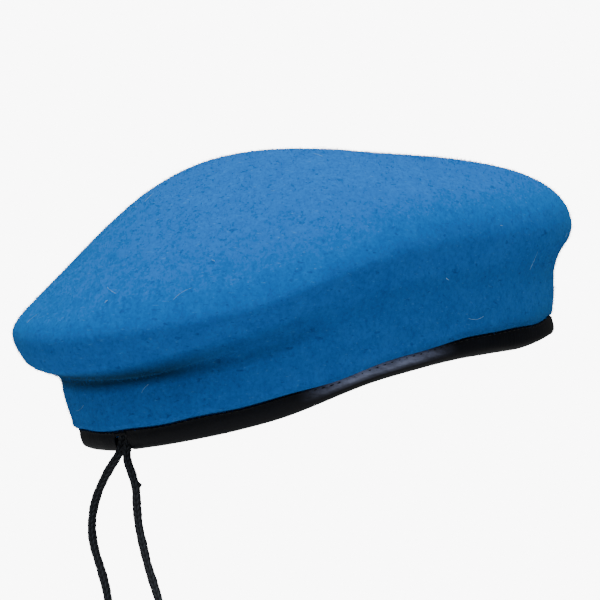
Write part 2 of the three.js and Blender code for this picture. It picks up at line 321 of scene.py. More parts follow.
@dataclass(frozen=True)
class LintFinish:
    """Pale stray hair.

    Attributes:
        dark: Its colour in the darker spots.
        light: Its colour in the lighter ones.
    """

    dark: Triple = (0.12, 0.30, 0.52)
    light: Triple = (0.30, 0.52, 0.70)

    def material(self) -> bpy.types.Material:
        """Build the hair."""
        bench = NodeBench("pale_lint")
        spots = bench.speckle(bench.place(), 300.0, 2.0)
        colour = bench.ramp(spots, "Fac", ((0.4, self.dark), (0.6, self.light)))
        bench.paint(colour)
        bench.set(Roughness=0.8, Specular_IOR_Level=0.2)
        return bench.material


@dataclass(frozen=True)
class LeatherFinish:
    """Black binding leather with pores and fine creases, and a pale painted sheen over one stretch at the
    side.

    Attributes:
        colour: The unworn black.
        worn: The slightly greyer patches.
        painted_sheen: Colour of the painted sheen.
        streaks: Range of the streak pattern over which the painted sheen grows from none to full.
        pore_scale: Cycles of the pores per metre.
        crease_scale: Cycles of the creases per metre.
    """

    colour: Triple = (0.0007, 0.0013, 0.0030)
    worn: Triple = (0.0018, 0.0028, 0.0056)
    painted_sheen: Triple = (0.190, 0.220, 0.340)
    streaks: tuple[float, float] = (0.12, 0.62)
    pore_scale: float = 1500.0
    crease_scale: float = 600.0

    def material(self) -> bpy.types.Material:
        """Build the leather."""
        bench = NodeBench("binding_leather")
        place = bench.place()
        patch = bench.speckle(place, 55.0, 4.0)
        black = bench.ramp(patch, "Fac", ((0.35, self.colour), (0.75, self.worn)))
        # Painted sheen: a pale stretch on the outer leaf at the side, broken up by streaks.
        near = bench.trait(LeatherBinding.PAINTED_SHEEN)
        streaks = bench.speckle(bench.place((1.0, 1.0, 3.0)), 160.0, 4.0, 0.7)
        broken = bench.node("ShaderNodeMapRange")
        broken.inputs["From Min"].default_value = self.streaks[0]
        broken.inputs["From Max"].default_value = self.streaks[1]
        bench.join(streaks, "Fac", broken, "Value")
        share = bench.node("ShaderNodeMath", operation="MULTIPLY")
        bench.join(near, "Fac", share, "Value")
        bench.tree.links.new(broken.outputs["Result"], share.inputs[1])
        colour = bench.mix(black, bench.plain(self.painted_sheen), 0.0)
        bench.join(share, "Value", colour, "Fac")
        bench.paint(colour)
        pores = bench.node("ShaderNodeTexVoronoi", feature="DISTANCE_TO_EDGE")
        pores.inputs["Scale"].default_value = self.pore_scale
        bench.join(place, "Vector", pores, "Vector")
        grain = bench.bump(pores, "Distance", 0.4, 0.00010)
        creases = bench.speckle(bench.place((1.0, 1.0, 0.25)), self.crease_scale, 4.0, 0.65)
        folded = bench.bump(creases, "Fac", 0.5, 0.0004, grain)
        bench.emboss(folded)
        polish = bench.ramp(patch, "Fac", ((0.3, (0.44, 0.44, 0.44)), (0.8, (0.58, 0.58, 0.58))))
        bench.join(polish, "Color", bench.shader, "Roughness")
        bench.set(Specular_IOR_Level=0.16)
        return bench.material


@dataclass(frozen=True)
class YarnFinish:
    """Black spun yarn, as in the braid of the cord and in sewing thread.

    Attributes:
        name: The material's name.
        dark: Colour in the hollows.
        light: Colour of raised fibres.
        ridge: Colour added on the crowns of braided strands.
        rough: Roughness.
        twist: Cycles of the fibre pattern per metre.
    """

    name: str
    dark: Triple
    light: Triple
    ridge: Triple = BLACK
    rough: float = 0.85
    twist: float = 2600.0

    def material(self) -> bpy.types.Material:
        """Build the yarn."""
        bench = NodeBench(self.name)
        place = bench.place((1.0, 1.0, 0.4))
        fibres = bench.speckle(place, self.twist, 3.0, 0.7)
        colour = bench.ramp(fibres, "Fac", ((0.35, self.dark), (0.75, self.light)))
        crowns = bench.trait(BraidMaker.RIDGE)
        lit = bench.ramp(crowns, "Fac", ((0.45, BLACK), (0.95, self.ridge)))
        both = bench.mix(colour, lit, 1.0, "ADD")
        bench.paint(both)
        raised = bench.bump(fibres, "Fac", 0.6, 0.00012)
        bench.emboss(raised)
        bench.set(Roughness=self.rough, Specular_IOR_Level=0.2, Sheen_Weight=0.05, Sheen_Roughness=0.5)
        return bench.material


@dataclass(frozen=True)
class SatinFinish:
    """Black satin lining with its fine cross weave.

    Attributes:
        dark: The darker black.
        light: The lighter black.
        weave_scale: Bands of the weave pattern per metre.
    """

    dark: Triple = (0.006, 0.007, 0.009)
    light: Triple = (0.018, 0.020, 0.025)
    weave_scale: float = 900.0

    def material(self) -> bpy.types.Material:
        """Build the satin."""
        bench = NodeBench("lining_satin")
        threads = bench.node("ShaderNodeTexWave", wave_type="BANDS", bands_direction="DIAGONAL")
        threads.inputs["Scale"].default_value = self.weave_scale
        threads.inputs["Distortion"].default_value = 1.5
        place = bench.place()
        bench.join(place, "Vector", threads, "Vector")
        cloud = bench.speckle(place, 60.0, 3.0)
        colour = bench.ramp(cloud, "Fac", ((0.3, self.dark), (0.8, self.light)))
        bench.paint(colour)
        weave = bench.bump(threads, "Fac", 0.4, 0.0001)
        bench.emboss(weave)
        bench.set(Roughness=0.42, Specular_IOR_Level=0.5, Sheen_Weight=0.1, Anisotropic=0.4)
        return bench.material


@dataclass(frozen=True)
class BoardFinish:
    """Grey pressed board.

    Attributes:
        colour: The board.
        fleck: The paler fibres in it.
    """

    colour: Triple = (0.030, 0.030, 0.032)
    fleck: Triple = (0.060, 0.058, 0.055)

    def material(self) -> bpy.types.Material:
        """Build the board."""
        bench = NodeBench("stiffener_board")
        flecks = bench.speckle(bench.place(), 700.0, 4.0)
        colour = bench.ramp(flecks, "Fac", ((0.4, self.colour), (0.7, self.fleck)))
        bench.paint(colour)
        raised = bench.bump(flecks, "Fac", 0.4, 0.0002)
        bench.emboss(raised)
        bench.set(Roughness=0.85)
        return bench.material


@dataclass(frozen=True)
class TapeFinish:
    """Blank woven label tape.

    Attributes:
        colour: The thread that lies on top.
        shade: The thread that lies below.
        weave_scale: Squares of the weave per metre.
    """

    colour: Triple = (0.62, 0.61, 0.57)
    shade: Triple = (0.48, 0.47, 0.43)
    weave_scale: float = 3200.0

    def material(self) -> bpy.types.Material:
        """Build the tape."""
        bench = NodeBench("label_tape")
        place = bench.place()
        weave = bench.node("ShaderNodeTexChecker")
        weave.inputs["Scale"].default_value = self.weave_scale
        weave.inputs["Color1"].default_value = (*self.colour, 1.0)
        weave.inputs["Color2"].default_value = (*self.shade, 1.0)
        bench.join(place, "Vector", weave, "Vector")
        bench.paint(weave)
        raised = bench.bump(weave, "Fac", 0.35, 0.00012)
        bench.emboss(raised)
        bench.set(Roughness=0.8, Sheen_Weight=0.1)
        return bench.material


@dataclass
class Finishes:
    """Every material of the beret, made once.

    Attributes:
        made: The material of each slot.
    """

    made: dict[Slot, bpy.types.Material] = field(default_factory=dict)

    def __post_init__(self) -> None:
        """Build each slot's material."""
        self.made = {
            Slot.FELT: FeltFinish().material(),
            Slot.LEATHER: LeatherFinish().material(),
            Slot.LINING: SatinFinish().material(),
            Slot.BRAID: YarnFinish("cord_braid", (0.0012, 0.0018, 0.0030), (0.0080, 0.0105, 0.0150),
                                   ridge=(0.026, 0.030, 0.036)).material(),
            Slot.THREAD: YarnFinish("sewing_thread", (0.0015, 0.002, 0.003), (0.008, 0.009, 0.012),
                                    rough=0.7).material(),
            Slot.BOARD: BoardFinish().material(),
            Slot.LABEL: TapeFinish().material(),
        }

    def dress(self, piece: bpy.types.Object, slot: Slot) -> None:
        """Give a piece one material all over.

        Args:
            piece: The object to dress.
            slot: Which finish it takes.
        """
        piece.data.materials.clear()
        piece.data.materials.append(self.made[slot])

    def dress_node(self, node: str, slot: Slot) -> None:
        """Give a CAD node its finish, in every place that it has for a material.

        Args:
            node: The node's name.
            slot: Which finish it takes.
        """
        piece = bpy.data.objects[node]
        for place in piece.material_slots:
            place.material = self.made[slot]


# ---------------------------------------------------------------- the shape of the hat


def evenly_round(count: int) -> Points:
    """Evenly spaced angles round the head."""
    return np.arange(count) / count * 2 * math.pi


def bearing(angle: Points) -> Points:
    """Angles as degrees from 0 to 360, from the front towards the left."""
    return np.degrees(np.mod(angle, 2 * math.pi))


def between(a: Points, b: Points, c: Points, d: Points, f: Points | float) -> Points:
    """Follow a smooth curve through four neighbours, from the second to the third.

    Args:
        a: The value before the stretch.
        b: The value at its start.
        c: The value at its end.
        d: The value after it.
        f: How far along the stretch, from 0 to 1.

    Returns:
        The curve's value.
    """
    return 0.5 * (2 * b + (c - a) * f + (2 * a - 5 * b + 4 * c - d) * f**2 + (3 * b - a - 3 * c + d) * f**3)


def smooth_around(values: tuple[float, ...], angle: Points) -> Points:
    """Read evenly spaced values round the head as a smooth closed curve.

    Args:
        values: The readings, from the front towards the left.
        angle: Angles to read at.

    Returns:
        The readings at those angles.
    """
    row = np.asarray(values, float)
    count = len(row)
    place = np.mod(angle / (2 * math.pi), 1.0) * count
    index = np.floor(place).astype(int) % count
    f = place - np.floor(place)
    return between(*(row[(index + k) % count] for k in (-1, 0, 1, 2)), f)


@dataclass(frozen=True)
class HatForm:
    """The beret's form, square to the band, in millimetres.

    Each row of readings is evenly spaced round the head, from the front towards the left. A reading
    that ends in out is an offset from the wool's face at the band, one in up a height over the
    binding's lower edge.

    Attributes:
        pitch: How far the band is tipped, nape down.
        wool: Thickness of the felt.
        semi_length: Half the band's length, to the wool's face.
        semi_width: Half the band's width.
        raw_edge: Height of the wool's raw edge inside the binding.
        wall_top: Height to which the wool stands flat behind the leather.
        apex: The highest point of the top.
        hem_up: Height of the hem over the binding.
        edge_up: How far the binding's lower edge rises and falls.
        edge_out: How far the band stands off its ellipse.
        hem_out: The hem just over the binding.
        neck_out: The narrowest place under the droop.
        neck_up: Its height.
        under_out: The droop's underside.
        under_up: Its height.
        belly_out: The droop's lower bulge.
        belly_up: Its height.
        rim_out: The widest place.
        rim_up: Its height.
        low_slack: How far the top sinks near the rim.
        high_slack: How far it sinks near the apex.
    """

    pitch: float = math.radians(17)
    wool: float = 2.6
    semi_length: float = 106.0
    semi_width: float = 85.0
    raw_edge: float = 5.0
    wall_top: float = 9.0
    apex: Triple = (-20.0, 0.0, 103.5)
    hem_up: float = 14.5
    edge_up: tuple[float, ...] = (0, 0.3, 1, 2.3, 3, 2.6, 1.5, 1.6, -0.3, -0.7, 0.1, 5, 5, 1.6, 1.7, -0.6)
    edge_out: tuple[float, ...] = (0, 0, 0, 0, 0, 0, 0, 1.8)
    hem_out: tuple[float, ...] = (5.5, 4, 3, 3.4, 4.4, 4, 5, 3.9)
    neck_out: tuple[float, ...] = (9.5, 5, 4, 5.2, 5, 5.4, 7.5, 6.5)
    neck_up: tuple[float, ...] = (26, 26, 26, 29.5, 28.5, 27, 27, 26)
    under_out: tuple[float, ...] = (12, 8, 7, 8.5, 13, 9, 9.5, 10.5)
    under_up: tuple[float, ...] = (33, 33, 33, 37.5, 32.5, 32, 34, 33)
    belly_out: tuple[float, ...] = (17, 11, 9.5, 14.5, 19, 13.5, 11.5, 16)
    belly_up: tuple[float, ...] = (39, 39, 40, 44, 38, 37.5, 40, 39)
    rim_out: tuple[float, ...] = (19, 13.5, 11, 14.5, 21.5, 17.5, 13.5, 18)
    rim_up: tuple[float, ...] = (46, 48, 50, 56, 50, 45, 48, 46)
    low_slack: tuple[float, ...] = (0, 1, 0, 10.8, 10.3, 5, 1, 0.5)
    high_slack: tuple[float, ...] = (5.5, 2, 0, 0, 0, 0, 1, 6.5)

    def beside_band(self, angle: Points, out: Points, up: Points) -> Points:
        """Points beside the band, square to it, in millimetres.

        Args:
            angle: Places round the head.
            out: Offsets from the wool's face at the band.
            up: Heights over the binding's lower edge.

        Returns:
            One point a row.
        """
        cos, sin = np.cos(angle), np.sin(angle)
        out = out + smooth_around(self.edge_out, angle)
        nx, ny = self.semi_width * cos, self.semi_length * sin
        size = np.hypot(nx, ny)
        x = self.semi_length * cos + out * nx / size
        y = self.semi_width * sin + out * ny / size
        return np.stack([x, y, smooth_around(self.edge_up, angle) + up], axis=-1)

    def outward(self, angle: Points) -> Points:
        """Level unit directions away from the band."""
        still = np.zeros_like(angle)
        return self.beside_band(angle, np.ones_like(angle), still) - self.beside_band(angle, still, still)

    def dome(self, angle: Points, lift: Points) -> Points:
        """Points on the top.

        Args:
            angle: Places round the head.
            lift: Turns up the top, from 0 at the rim to a quarter turn at the apex.

        Returns:
            One point a place.
        """
        rim = self.beside_band(angle, smooth_around(self.rim_out, angle), smooth_around(self.rim_up, angle))
        apex = np.asarray(self.apex)
        cos, sin = np.cos(lift), np.sin(lift)
        x = apex[0] + (rim[..., 0] - apex[0]) * cos
        y = apex[1] + (rim[..., 1] - apex[1]) * cos
        z = rim[..., 2] + (apex[2] - rim[..., 2]) * sin
        slack = smooth_around(self.low_slack, angle) * cos + smooth_around(self.high_slack, angle) * sin
        slack *= np.sin(2 * lift) / 0.77
        away = self.outward(angle)
        inwards = 0.6 * slack
        return np.stack([x - inwards * away[..., 0], y - inwards * away[..., 1], z - 0.8 * slack], axis=-1)

    def wall(self, angle: Points, share: Points) -> Points:
        """Points on the wall.

        Args:
            angle: Places round the head.
            share: Places up the wall, from 0 at the raw edge over neck and droop to 1 at the rim.

        Returns:
            One point a place.
        """
        stops = [
            self.beside_band(angle, smooth_around(out, angle), smooth_around(up, angle))
            for out, up in (
                ((0,), (self.raw_edge,)), ((0,), (self.wall_top,)), (self.hem_out, (self.hem_up,)),
                (self.neck_out, self.neck_up), (self.under_out, self.under_up),
                (self.belly_out, self.belly_up), (self.rim_out, self.rim_up),
            )
        ]
        stretches = len(stops) - 1
        rising = self.dome(angle, np.full_like(angle, 0.02)) - stops[-1]
        rising /= np.linalg.norm(rising, axis=-1, keepdims=True)
        reach = np.linalg.norm(stops[-1] - stops[-2], axis=-1, keepdims=True)
        stops = [2 * stops[0] - stops[1], *stops, stops[-2] + 2.2 * reach * rising]
        row = np.stack(stops)
        place = np.clip(share * stretches, 0, stretches - 1e-9)
        index = np.floor(place).astype(int)
        f = (place - index)[..., None]
        across = np.arange(angle.size).reshape(angle.shape)
        flat = row.reshape(len(stops), -1, 3)
        neighbours = (flat[index.ravel() + k, across.ravel()].reshape(*angle.shape, 3) for k in range(4))
        return between(*neighbours, f)

    def face(self, angle: Points, row: Points) -> Points:
        """Points on the wool's outer face.

        Args:
            angle: Places round the head.
            row: Places up the crown: 0 to 1 is the wall, 1 to 2 the top.

        Returns:
            One point a place.
        """
        low = self.wall(angle, np.clip(row, 0, 1))
        high = self.dome(angle, np.clip(row - 1, 0, 1) * math.pi / 2)
        return np.where((row <= 1)[..., None], low, high)

    def normals(self, angle: Points, row: Points) -> Points:
        """Outward directions of the wool's face.

        Args:
            angle: Places round the head.
            row: Places up the crown.

        Returns:
            One unit direction a place.
        """
        step = 0.006
        along = self.face(angle + step, row) - self.face(angle - step, row)
        rising = self.face(angle, np.minimum(row + step, 2)) - self.face(angle, np.maximum(row - step, 0))
        normal = np.cross(along, rising)
        size = np.linalg.norm(normal, axis=-1, keepdims=True)
        normal = np.where(size > 1e-9, normal / np.maximum(size, 1e-12), np.array([0.0, 0.0, 1.0]))
        normal[row >= 2 - 1e-9] = (0.0, 0.0, 1.0)
        return normal

    def depth(self, angle: Points, row: Points, inset: Points | float) -> Points:
        """Points at a depth under the wool's outer face."""
        inset = np.asarray(inset, float)
        return self.face(angle, row) - self.normals(angle, row) * inset[..., None]

    def worn(self, points: Points) -> Points:
        """Tip points into the worn pose and turn them to metres.

        Args:
            points: Points square to the band, in millimetres.

        Returns:
            The points in the shared frame.
        """
        cos, sin = math.cos(self.pitch), math.sin(self.pitch)
        x, y, z = points[..., 0], points[..., 1], points[..., 2]
        return np.stack([x * cos - z * sin, y, x * sin + z * cos], axis=-1) * MM


FORM = HatForm()


def wander(points: Points, scale: float, seed: float) -> Points:
    """Smooth noise from -1 to 1 at each point.

    Args:
        points: Places, in millimetres.
        scale: Cycles per millimetre.
        seed: Shift that makes one pattern differ from another.

    Returns:
        One value a point.
    """
    flat = points.reshape(-1, 3) * scale + seed
    values = [noise.noise(Vector(p)) for p in flat]
    return np.asarray(values).reshape(points.shape[:-1])


def new_piece(name: str, points: Points, faces: Faces) -> bpy.types.Object:
    """Make a mesh object at the origin.

    Args:
        name: The piece's name.
        points: Corners, in metres.
        faces: Corner indices of each face.

    Returns:
        The object, with smooth faces that point outwards.
    """
    mesh = bpy.data.meshes.new(name)
    mesh.from_pydata([tuple(p) for p in points.reshape(-1, 3)], [], faces)
    shape = bmesh.new()
    shape.from_mesh(mesh)
    bmesh.ops.recalc_face_normals(shape, faces=shape.faces)
    if shape.calc_volume(signed=True) < 0:
        bmesh.ops.reverse_faces(shape, faces=shape.faces)
    shape.to_mesh(mesh)
    shape.free()
    mesh.polygons.foreach_set("use_smooth", [True] * len(mesh.polygons))
    piece = bpy.data.objects.new(name, mesh)
    bpy.context.scene.collection.objects.link(piece)
    return piece


def wrap_faces(rings: int, size: int, closed_rings: bool = True, closed_loop: bool = True
               ) -> Faces:
    """Quads of a grid of points that wraps round.

    Args:
        rings: How many rows of points.
        size: Points in a row.
        closed_rings: Whether the last row joins the first.
        closed_loop: Whether a row's last point joins its first.

    Returns:
        The quads.
    """
    faces = []
    for i in range(rings if closed_rings else rings - 1):
        j = (i + 1) % rings
        for k in range(size if closed_loop else size - 1):
            m = (k + 1) % size
            faces.append((i * size + k, j * size + k, j * size + m, i * size + m))
    return faces


def capped(sections: Points, last: int, tips: tuple[Points, Points]) -> tuple[Points, Faces]:
    """Close a dome of two layers, each of which ends in a point at the top.

    Args:
        sections: Points of each section, up the one layer and down the other.
        last: Index of the first layer's last point.
        tips: Tops of the first and the second layer.

    Returns:
        All the points and the faces.
    """
    around, size = sections.shape[:2]
    faces = [f for f in wrap_faces(around, size) if f[0] % size != last]
    points = list(sections.reshape(-1, 3))
    tip = len(points)
    points += tips
    for i in range(around):
        j = (i + 1) % around
        faces.append((i * size + last, j * size + last, tip))
        faces.append((j * size + last + 1, i * size + last + 1, tip + 1))
    return np.asarray(points), faces


@dataclass(frozen=True)
class Hill:
    """A smooth rise and fall.

    Attributes:
        centre: Where it is highest.
        reach: How far it spreads to each side.
        height: How high it is.
    """

    centre: float
    reach: float
    height: float = 1.0

    def at(self, value: Points) -> Points:
        """The height at each value."""
        return self.height * np.exp(-(((value - self.centre) / self.reach) ** 2))


def step(value: Points, low: Points | float, high: Points | float) -> Points:
    """A smooth rise from 0 to 1 between two values.

    Args:
        value: Where to read it.
        low: Where the rise begins.
        high: Where it ends.

    Returns:
        The rise at each value.
    """
    f = np.clip((value - low) / (high - low), 0, 1)
    return f * f * (3 - 2 * f)


# ---------------------------------------------------------------- crown


@dataclass
class WoolCrown:
    """The one-piece felted crown.

    Levels count the form's stops up the wall: 0 is the raw edge, 2 the hem, 3 the neck, 4 the droop's
    underside, 5 its bulge and 6 the rim. Bearings are degrees round the head.

    Attributes:
        around: Points round the head.
        wall_rows: Rows from the raw edge to the rim.
        dome_rows: Rows from the rim to the apex.
        inside_rows: Rows on the hidden inner face.
        blank: Diameter of the round felt blank, in metres. Not used.
        proud: How far the wool stands out over the binding, in millimetres.
        lip_drop: How far the fold at the back hangs down.
        neck_tuck: How far the wool tucks in under that fold.
        notch: Height of the relief for the cord behind the binding.
        notch_side: Distances beside the slot over which that relief fades.
        skin: How much thinner than the wool the drawn layer is.
        grid: The finished outer face over the binding, in metres, once built.
    """

    # Name of the painted shade that darkens the felt in the fold at the back, towards the leather and along
    # the near side's wall.
    PAINTED_SHADE: ClassVar[str] = "painted_shade"
    LEVELS: ClassVar[int] = 6
    LEAST_SAG: ClassVar[float] = 0.35
    SAGS: ClassVar[tuple[Hill, ...]] = (
        Hill(243, 13, 2.7), Hill(264, 12, 1.5), Hill(324, 15, 0.6), Hill(301, 8, 0.7),
    )
    SCALLOP: ClassVar[float] = 0.22
    SCALLOPS: ClassVar[int] = 17
    CREASE_START: ClassVar[tuple[float, float]] = (122, 150)
    CREASE_FADES: ClassVar[tuple[Triple, ...]] = ((0.55, 196, 224), (0.45, 222, 262))
    CLOSE_ROWS: ClassVar[tuple[Hill, ...]] = (Hill(0.172, 0.022, 7), Hill(0.6, 0.11, 2.2))

    around: int = 400
    wall_rows: int = 78
    dome_rows: int = 52
    inside_rows: int = 22
    blank: float = 0.34
    proud: float = 2.3
    lip_drop: float = 3.2
    neck_tuck: float = 0.9
    notch: float = 8.2
    notch_side: tuple[float, float] = (4.4, 6.2)
    skin: float = 0.2
    grid: Points | None = None

    def levels(self) -> Points:
        """Rows of points up the outside, close together over the binding and at the crease."""
        even = np.linspace(0, 1, 2000)
        density = 1
        for hill in self.CLOSE_ROWS:
            density = density + hill.at(even)
        total = np.concatenate([[0], np.cumsum(density[:-1] + density[1:])])
        wall = np.interp(np.linspace(0, total[-1], self.wall_rows + 1), total, even)
        return np.concatenate([wall, 1 + np.arange(1, self.dome_rows + 1) / (self.dome_rows + 1)])

    @classmethod
    def cover(cls, angle: Points) -> Points:
        """How far the wool sags over the leather's upper edge.

        Args:
            angle: Places round the head.

        Returns:
            The sag at each place, in millimetres.
        """
        turn = bearing(angle)
        sag = cls.LEAST_SAG
        for hill in cls.SAGS:
            sag = sag + hill.at(turn)
        return sag + cls.SCALLOP * np.sin(np.radians(turn) * cls.SCALLOPS)

    def crease(self, angle: Points) -> Points:
        """How sharply the crown folds over at the back.

        Args:
            angle: Places round the head.

        Returns:
            The sharpness at each place, from 0 to 1.
        """
        turn = bearing(angle)
        left = 1
        for share, low, high in self.CREASE_FADES:
            left = left - share * step(turn, low, high)
        return step(turn, *self.CREASE_START) * left

    def valley(self, angle: Points, level: Points) -> Points:
        """How deep places lie in the fold at the back.

        Args:
            angle: Places round the head.
            level: Levels up the wall.

        Returns:
            The depth of each place, from 0 to 1.
        """
        fold = self.crease(angle)
        soft = 1 - fold
        return fold * step(level, 2.52 - 0.2 * soft, 2.98) * (1 - step(level, 4.05, 4.9 + 0.7 * soft))

    def painted_hem_shade(self, angle: Points, level: Points) -> Points:
        """How much painted shade darkens the wool towards the leather, and along the near side's wall.

        Args:
            angle: Places round the head.
            level: Levels up the wall.

        Returns:
            The darkness of each place, from 0 to 1.
        """
        turn = bearing(angle)
        side = Hill(296, 34).at(turn)
        low = (0.26 + 0.24 * side) * (1 - step(level, 1.15, 1.75 + 1.1 * side))
        return np.maximum(low, 0.30 * (1 - step(level, 3.4, 5.2)) * Hill(265, 60).at(turn))

    def relief(self, angle: Points, row: Points, points: Points) -> Points:
        """How far the outer face stands off its plain form, in millimetres.

        Args:
            angle: Places round the head.
            row: Rows up the crown.
            points: The plain form's points.

        Returns:
            Shifts of each point.
        """
        level = row * self.LEVELS
        turn = bearing(angle)
        roll = step(level, 0.93, 1.07) * (1 - step(level, 1.15, 2.1))
        flush = Hill(325, 24).at(turn)
        out = (self.proud - 0.9 * flush) * roll + 0.5 * (1 - flush) * Hill(1.3, 0.3).at(level)
        out -= self.neck_tuck * self.valley(angle, level)
        out += self.crease(angle) * 0.9 * Hill(4.4, 0.5).at(level)
        up = -self.cover(angle) * np.clip(level / 0.9, 0, 1) * (1 - step(level, 1.0, 2.0))
        up -= self.lip_drop * Hill(200, 17).at(turn) * Hill(4.0, 0.55).at(level)
        lumps = 0.55 * wander(points, 0.022, 3.0) + 0.16 * wander(points, 0.09, 11.0)
        lumps += 0.06 * wander(points, 0.35, 23.0)
        pucker = 0.35 * wander(points * (1, 1, 0.35), 0.075, 31.0) * Hill(1.3, 0.6).at(level)
        free = step(level, 0.9, 1.6)
        return (
            FORM.outward(angle) * (out + pucker * step(level, 0.95, 1.1))[..., None]
            + up[..., None] * np.array([0.0, 0.0, 1.0])
            + FORM.normals(angle, row) * (lumps * free)[..., None]
        )

    def outside(self, angle: Points, row: Points) -> Points:
        """Points on the finished outer face, in millimetres."""
        face = FORM.face(angle, row)
        return face + self.relief(angle, row, face)

    def notched(self, angle: Points, points: Points) -> Points:
        """Raise the raw edge behind the binding's slot, where the cord passes.

        Args:
            angle: Places round the head.
            points: The crown's points, in millimetres.

        Returns:
            The points, with those behind the slot raised.
        """
        up = points[..., 2] - smooth_around(FORM.edge_up, angle)
        beside = np.abs(points[..., 1] - LeatherBinding.slot_side)
        inside = (points[..., 0] < 0) * (1 - step(beside, *self.notch_side))
        raised = points.copy()
        raised[..., 2] += inside * np.clip(self.notch - up, 0, None)
        return raised

    def build(self) -> bpy.types.Object:
        """Build the crown."""
        angles = evenly_round(self.around)
        rows = self.levels()
        half = self.inside_rows // 2
        inner = np.concatenate([np.linspace(0, 1, half), np.linspace(1.1, 1.9, half)])
        a, r = np.meshgrid(angles, rows, indexing="ij")
        outside = self.outside(a, r)
        a2, r2 = np.meshgrid(angles, inner[::-1], indexing="ij")
        inside = FORM.depth(a2, r2, np.full(a2.shape, FORM.wool - self.skin))
        sections = self.notched(angles[:, None], np.concatenate([outside, inside], axis=1))
        apex = np.asarray(FORM.apex)
        points, faces = capped(sections, len(rows) - 1, (apex, apex - (0, 0, FORM.wool)))
        self.grid = FORM.worn(outside[:, rows > 1.06 / self.LEVELS])
        piece = new_piece("felt_crown", FORM.worn(points), faces)
        # Painted shade: the fold at the back, the wool towards the leather and the near side's wall get a
        # darkness that multiplies the felt's colour.
        deep = np.zeros(sections.shape[:2])
        level = r * self.LEVELS
        deep[:, : len(rows)] = np.maximum(self.valley(a, level), self.painted_hem_shade(a, level))
        shade = piece.data.attributes.new(self.PAINTED_SHADE, "FLOAT", "POINT")
        shade.data.foreach_set("value", np.concatenate([deep.ravel(), [0.0, 0.0]]).astype(np.float32))
        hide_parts("crown_shell")
        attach(piece, Body.BERET.value)
        return piece

    def declare(self, piece: bpy.types.Object) -> None:
        """Do nothing: the felt blank is not stated here."""


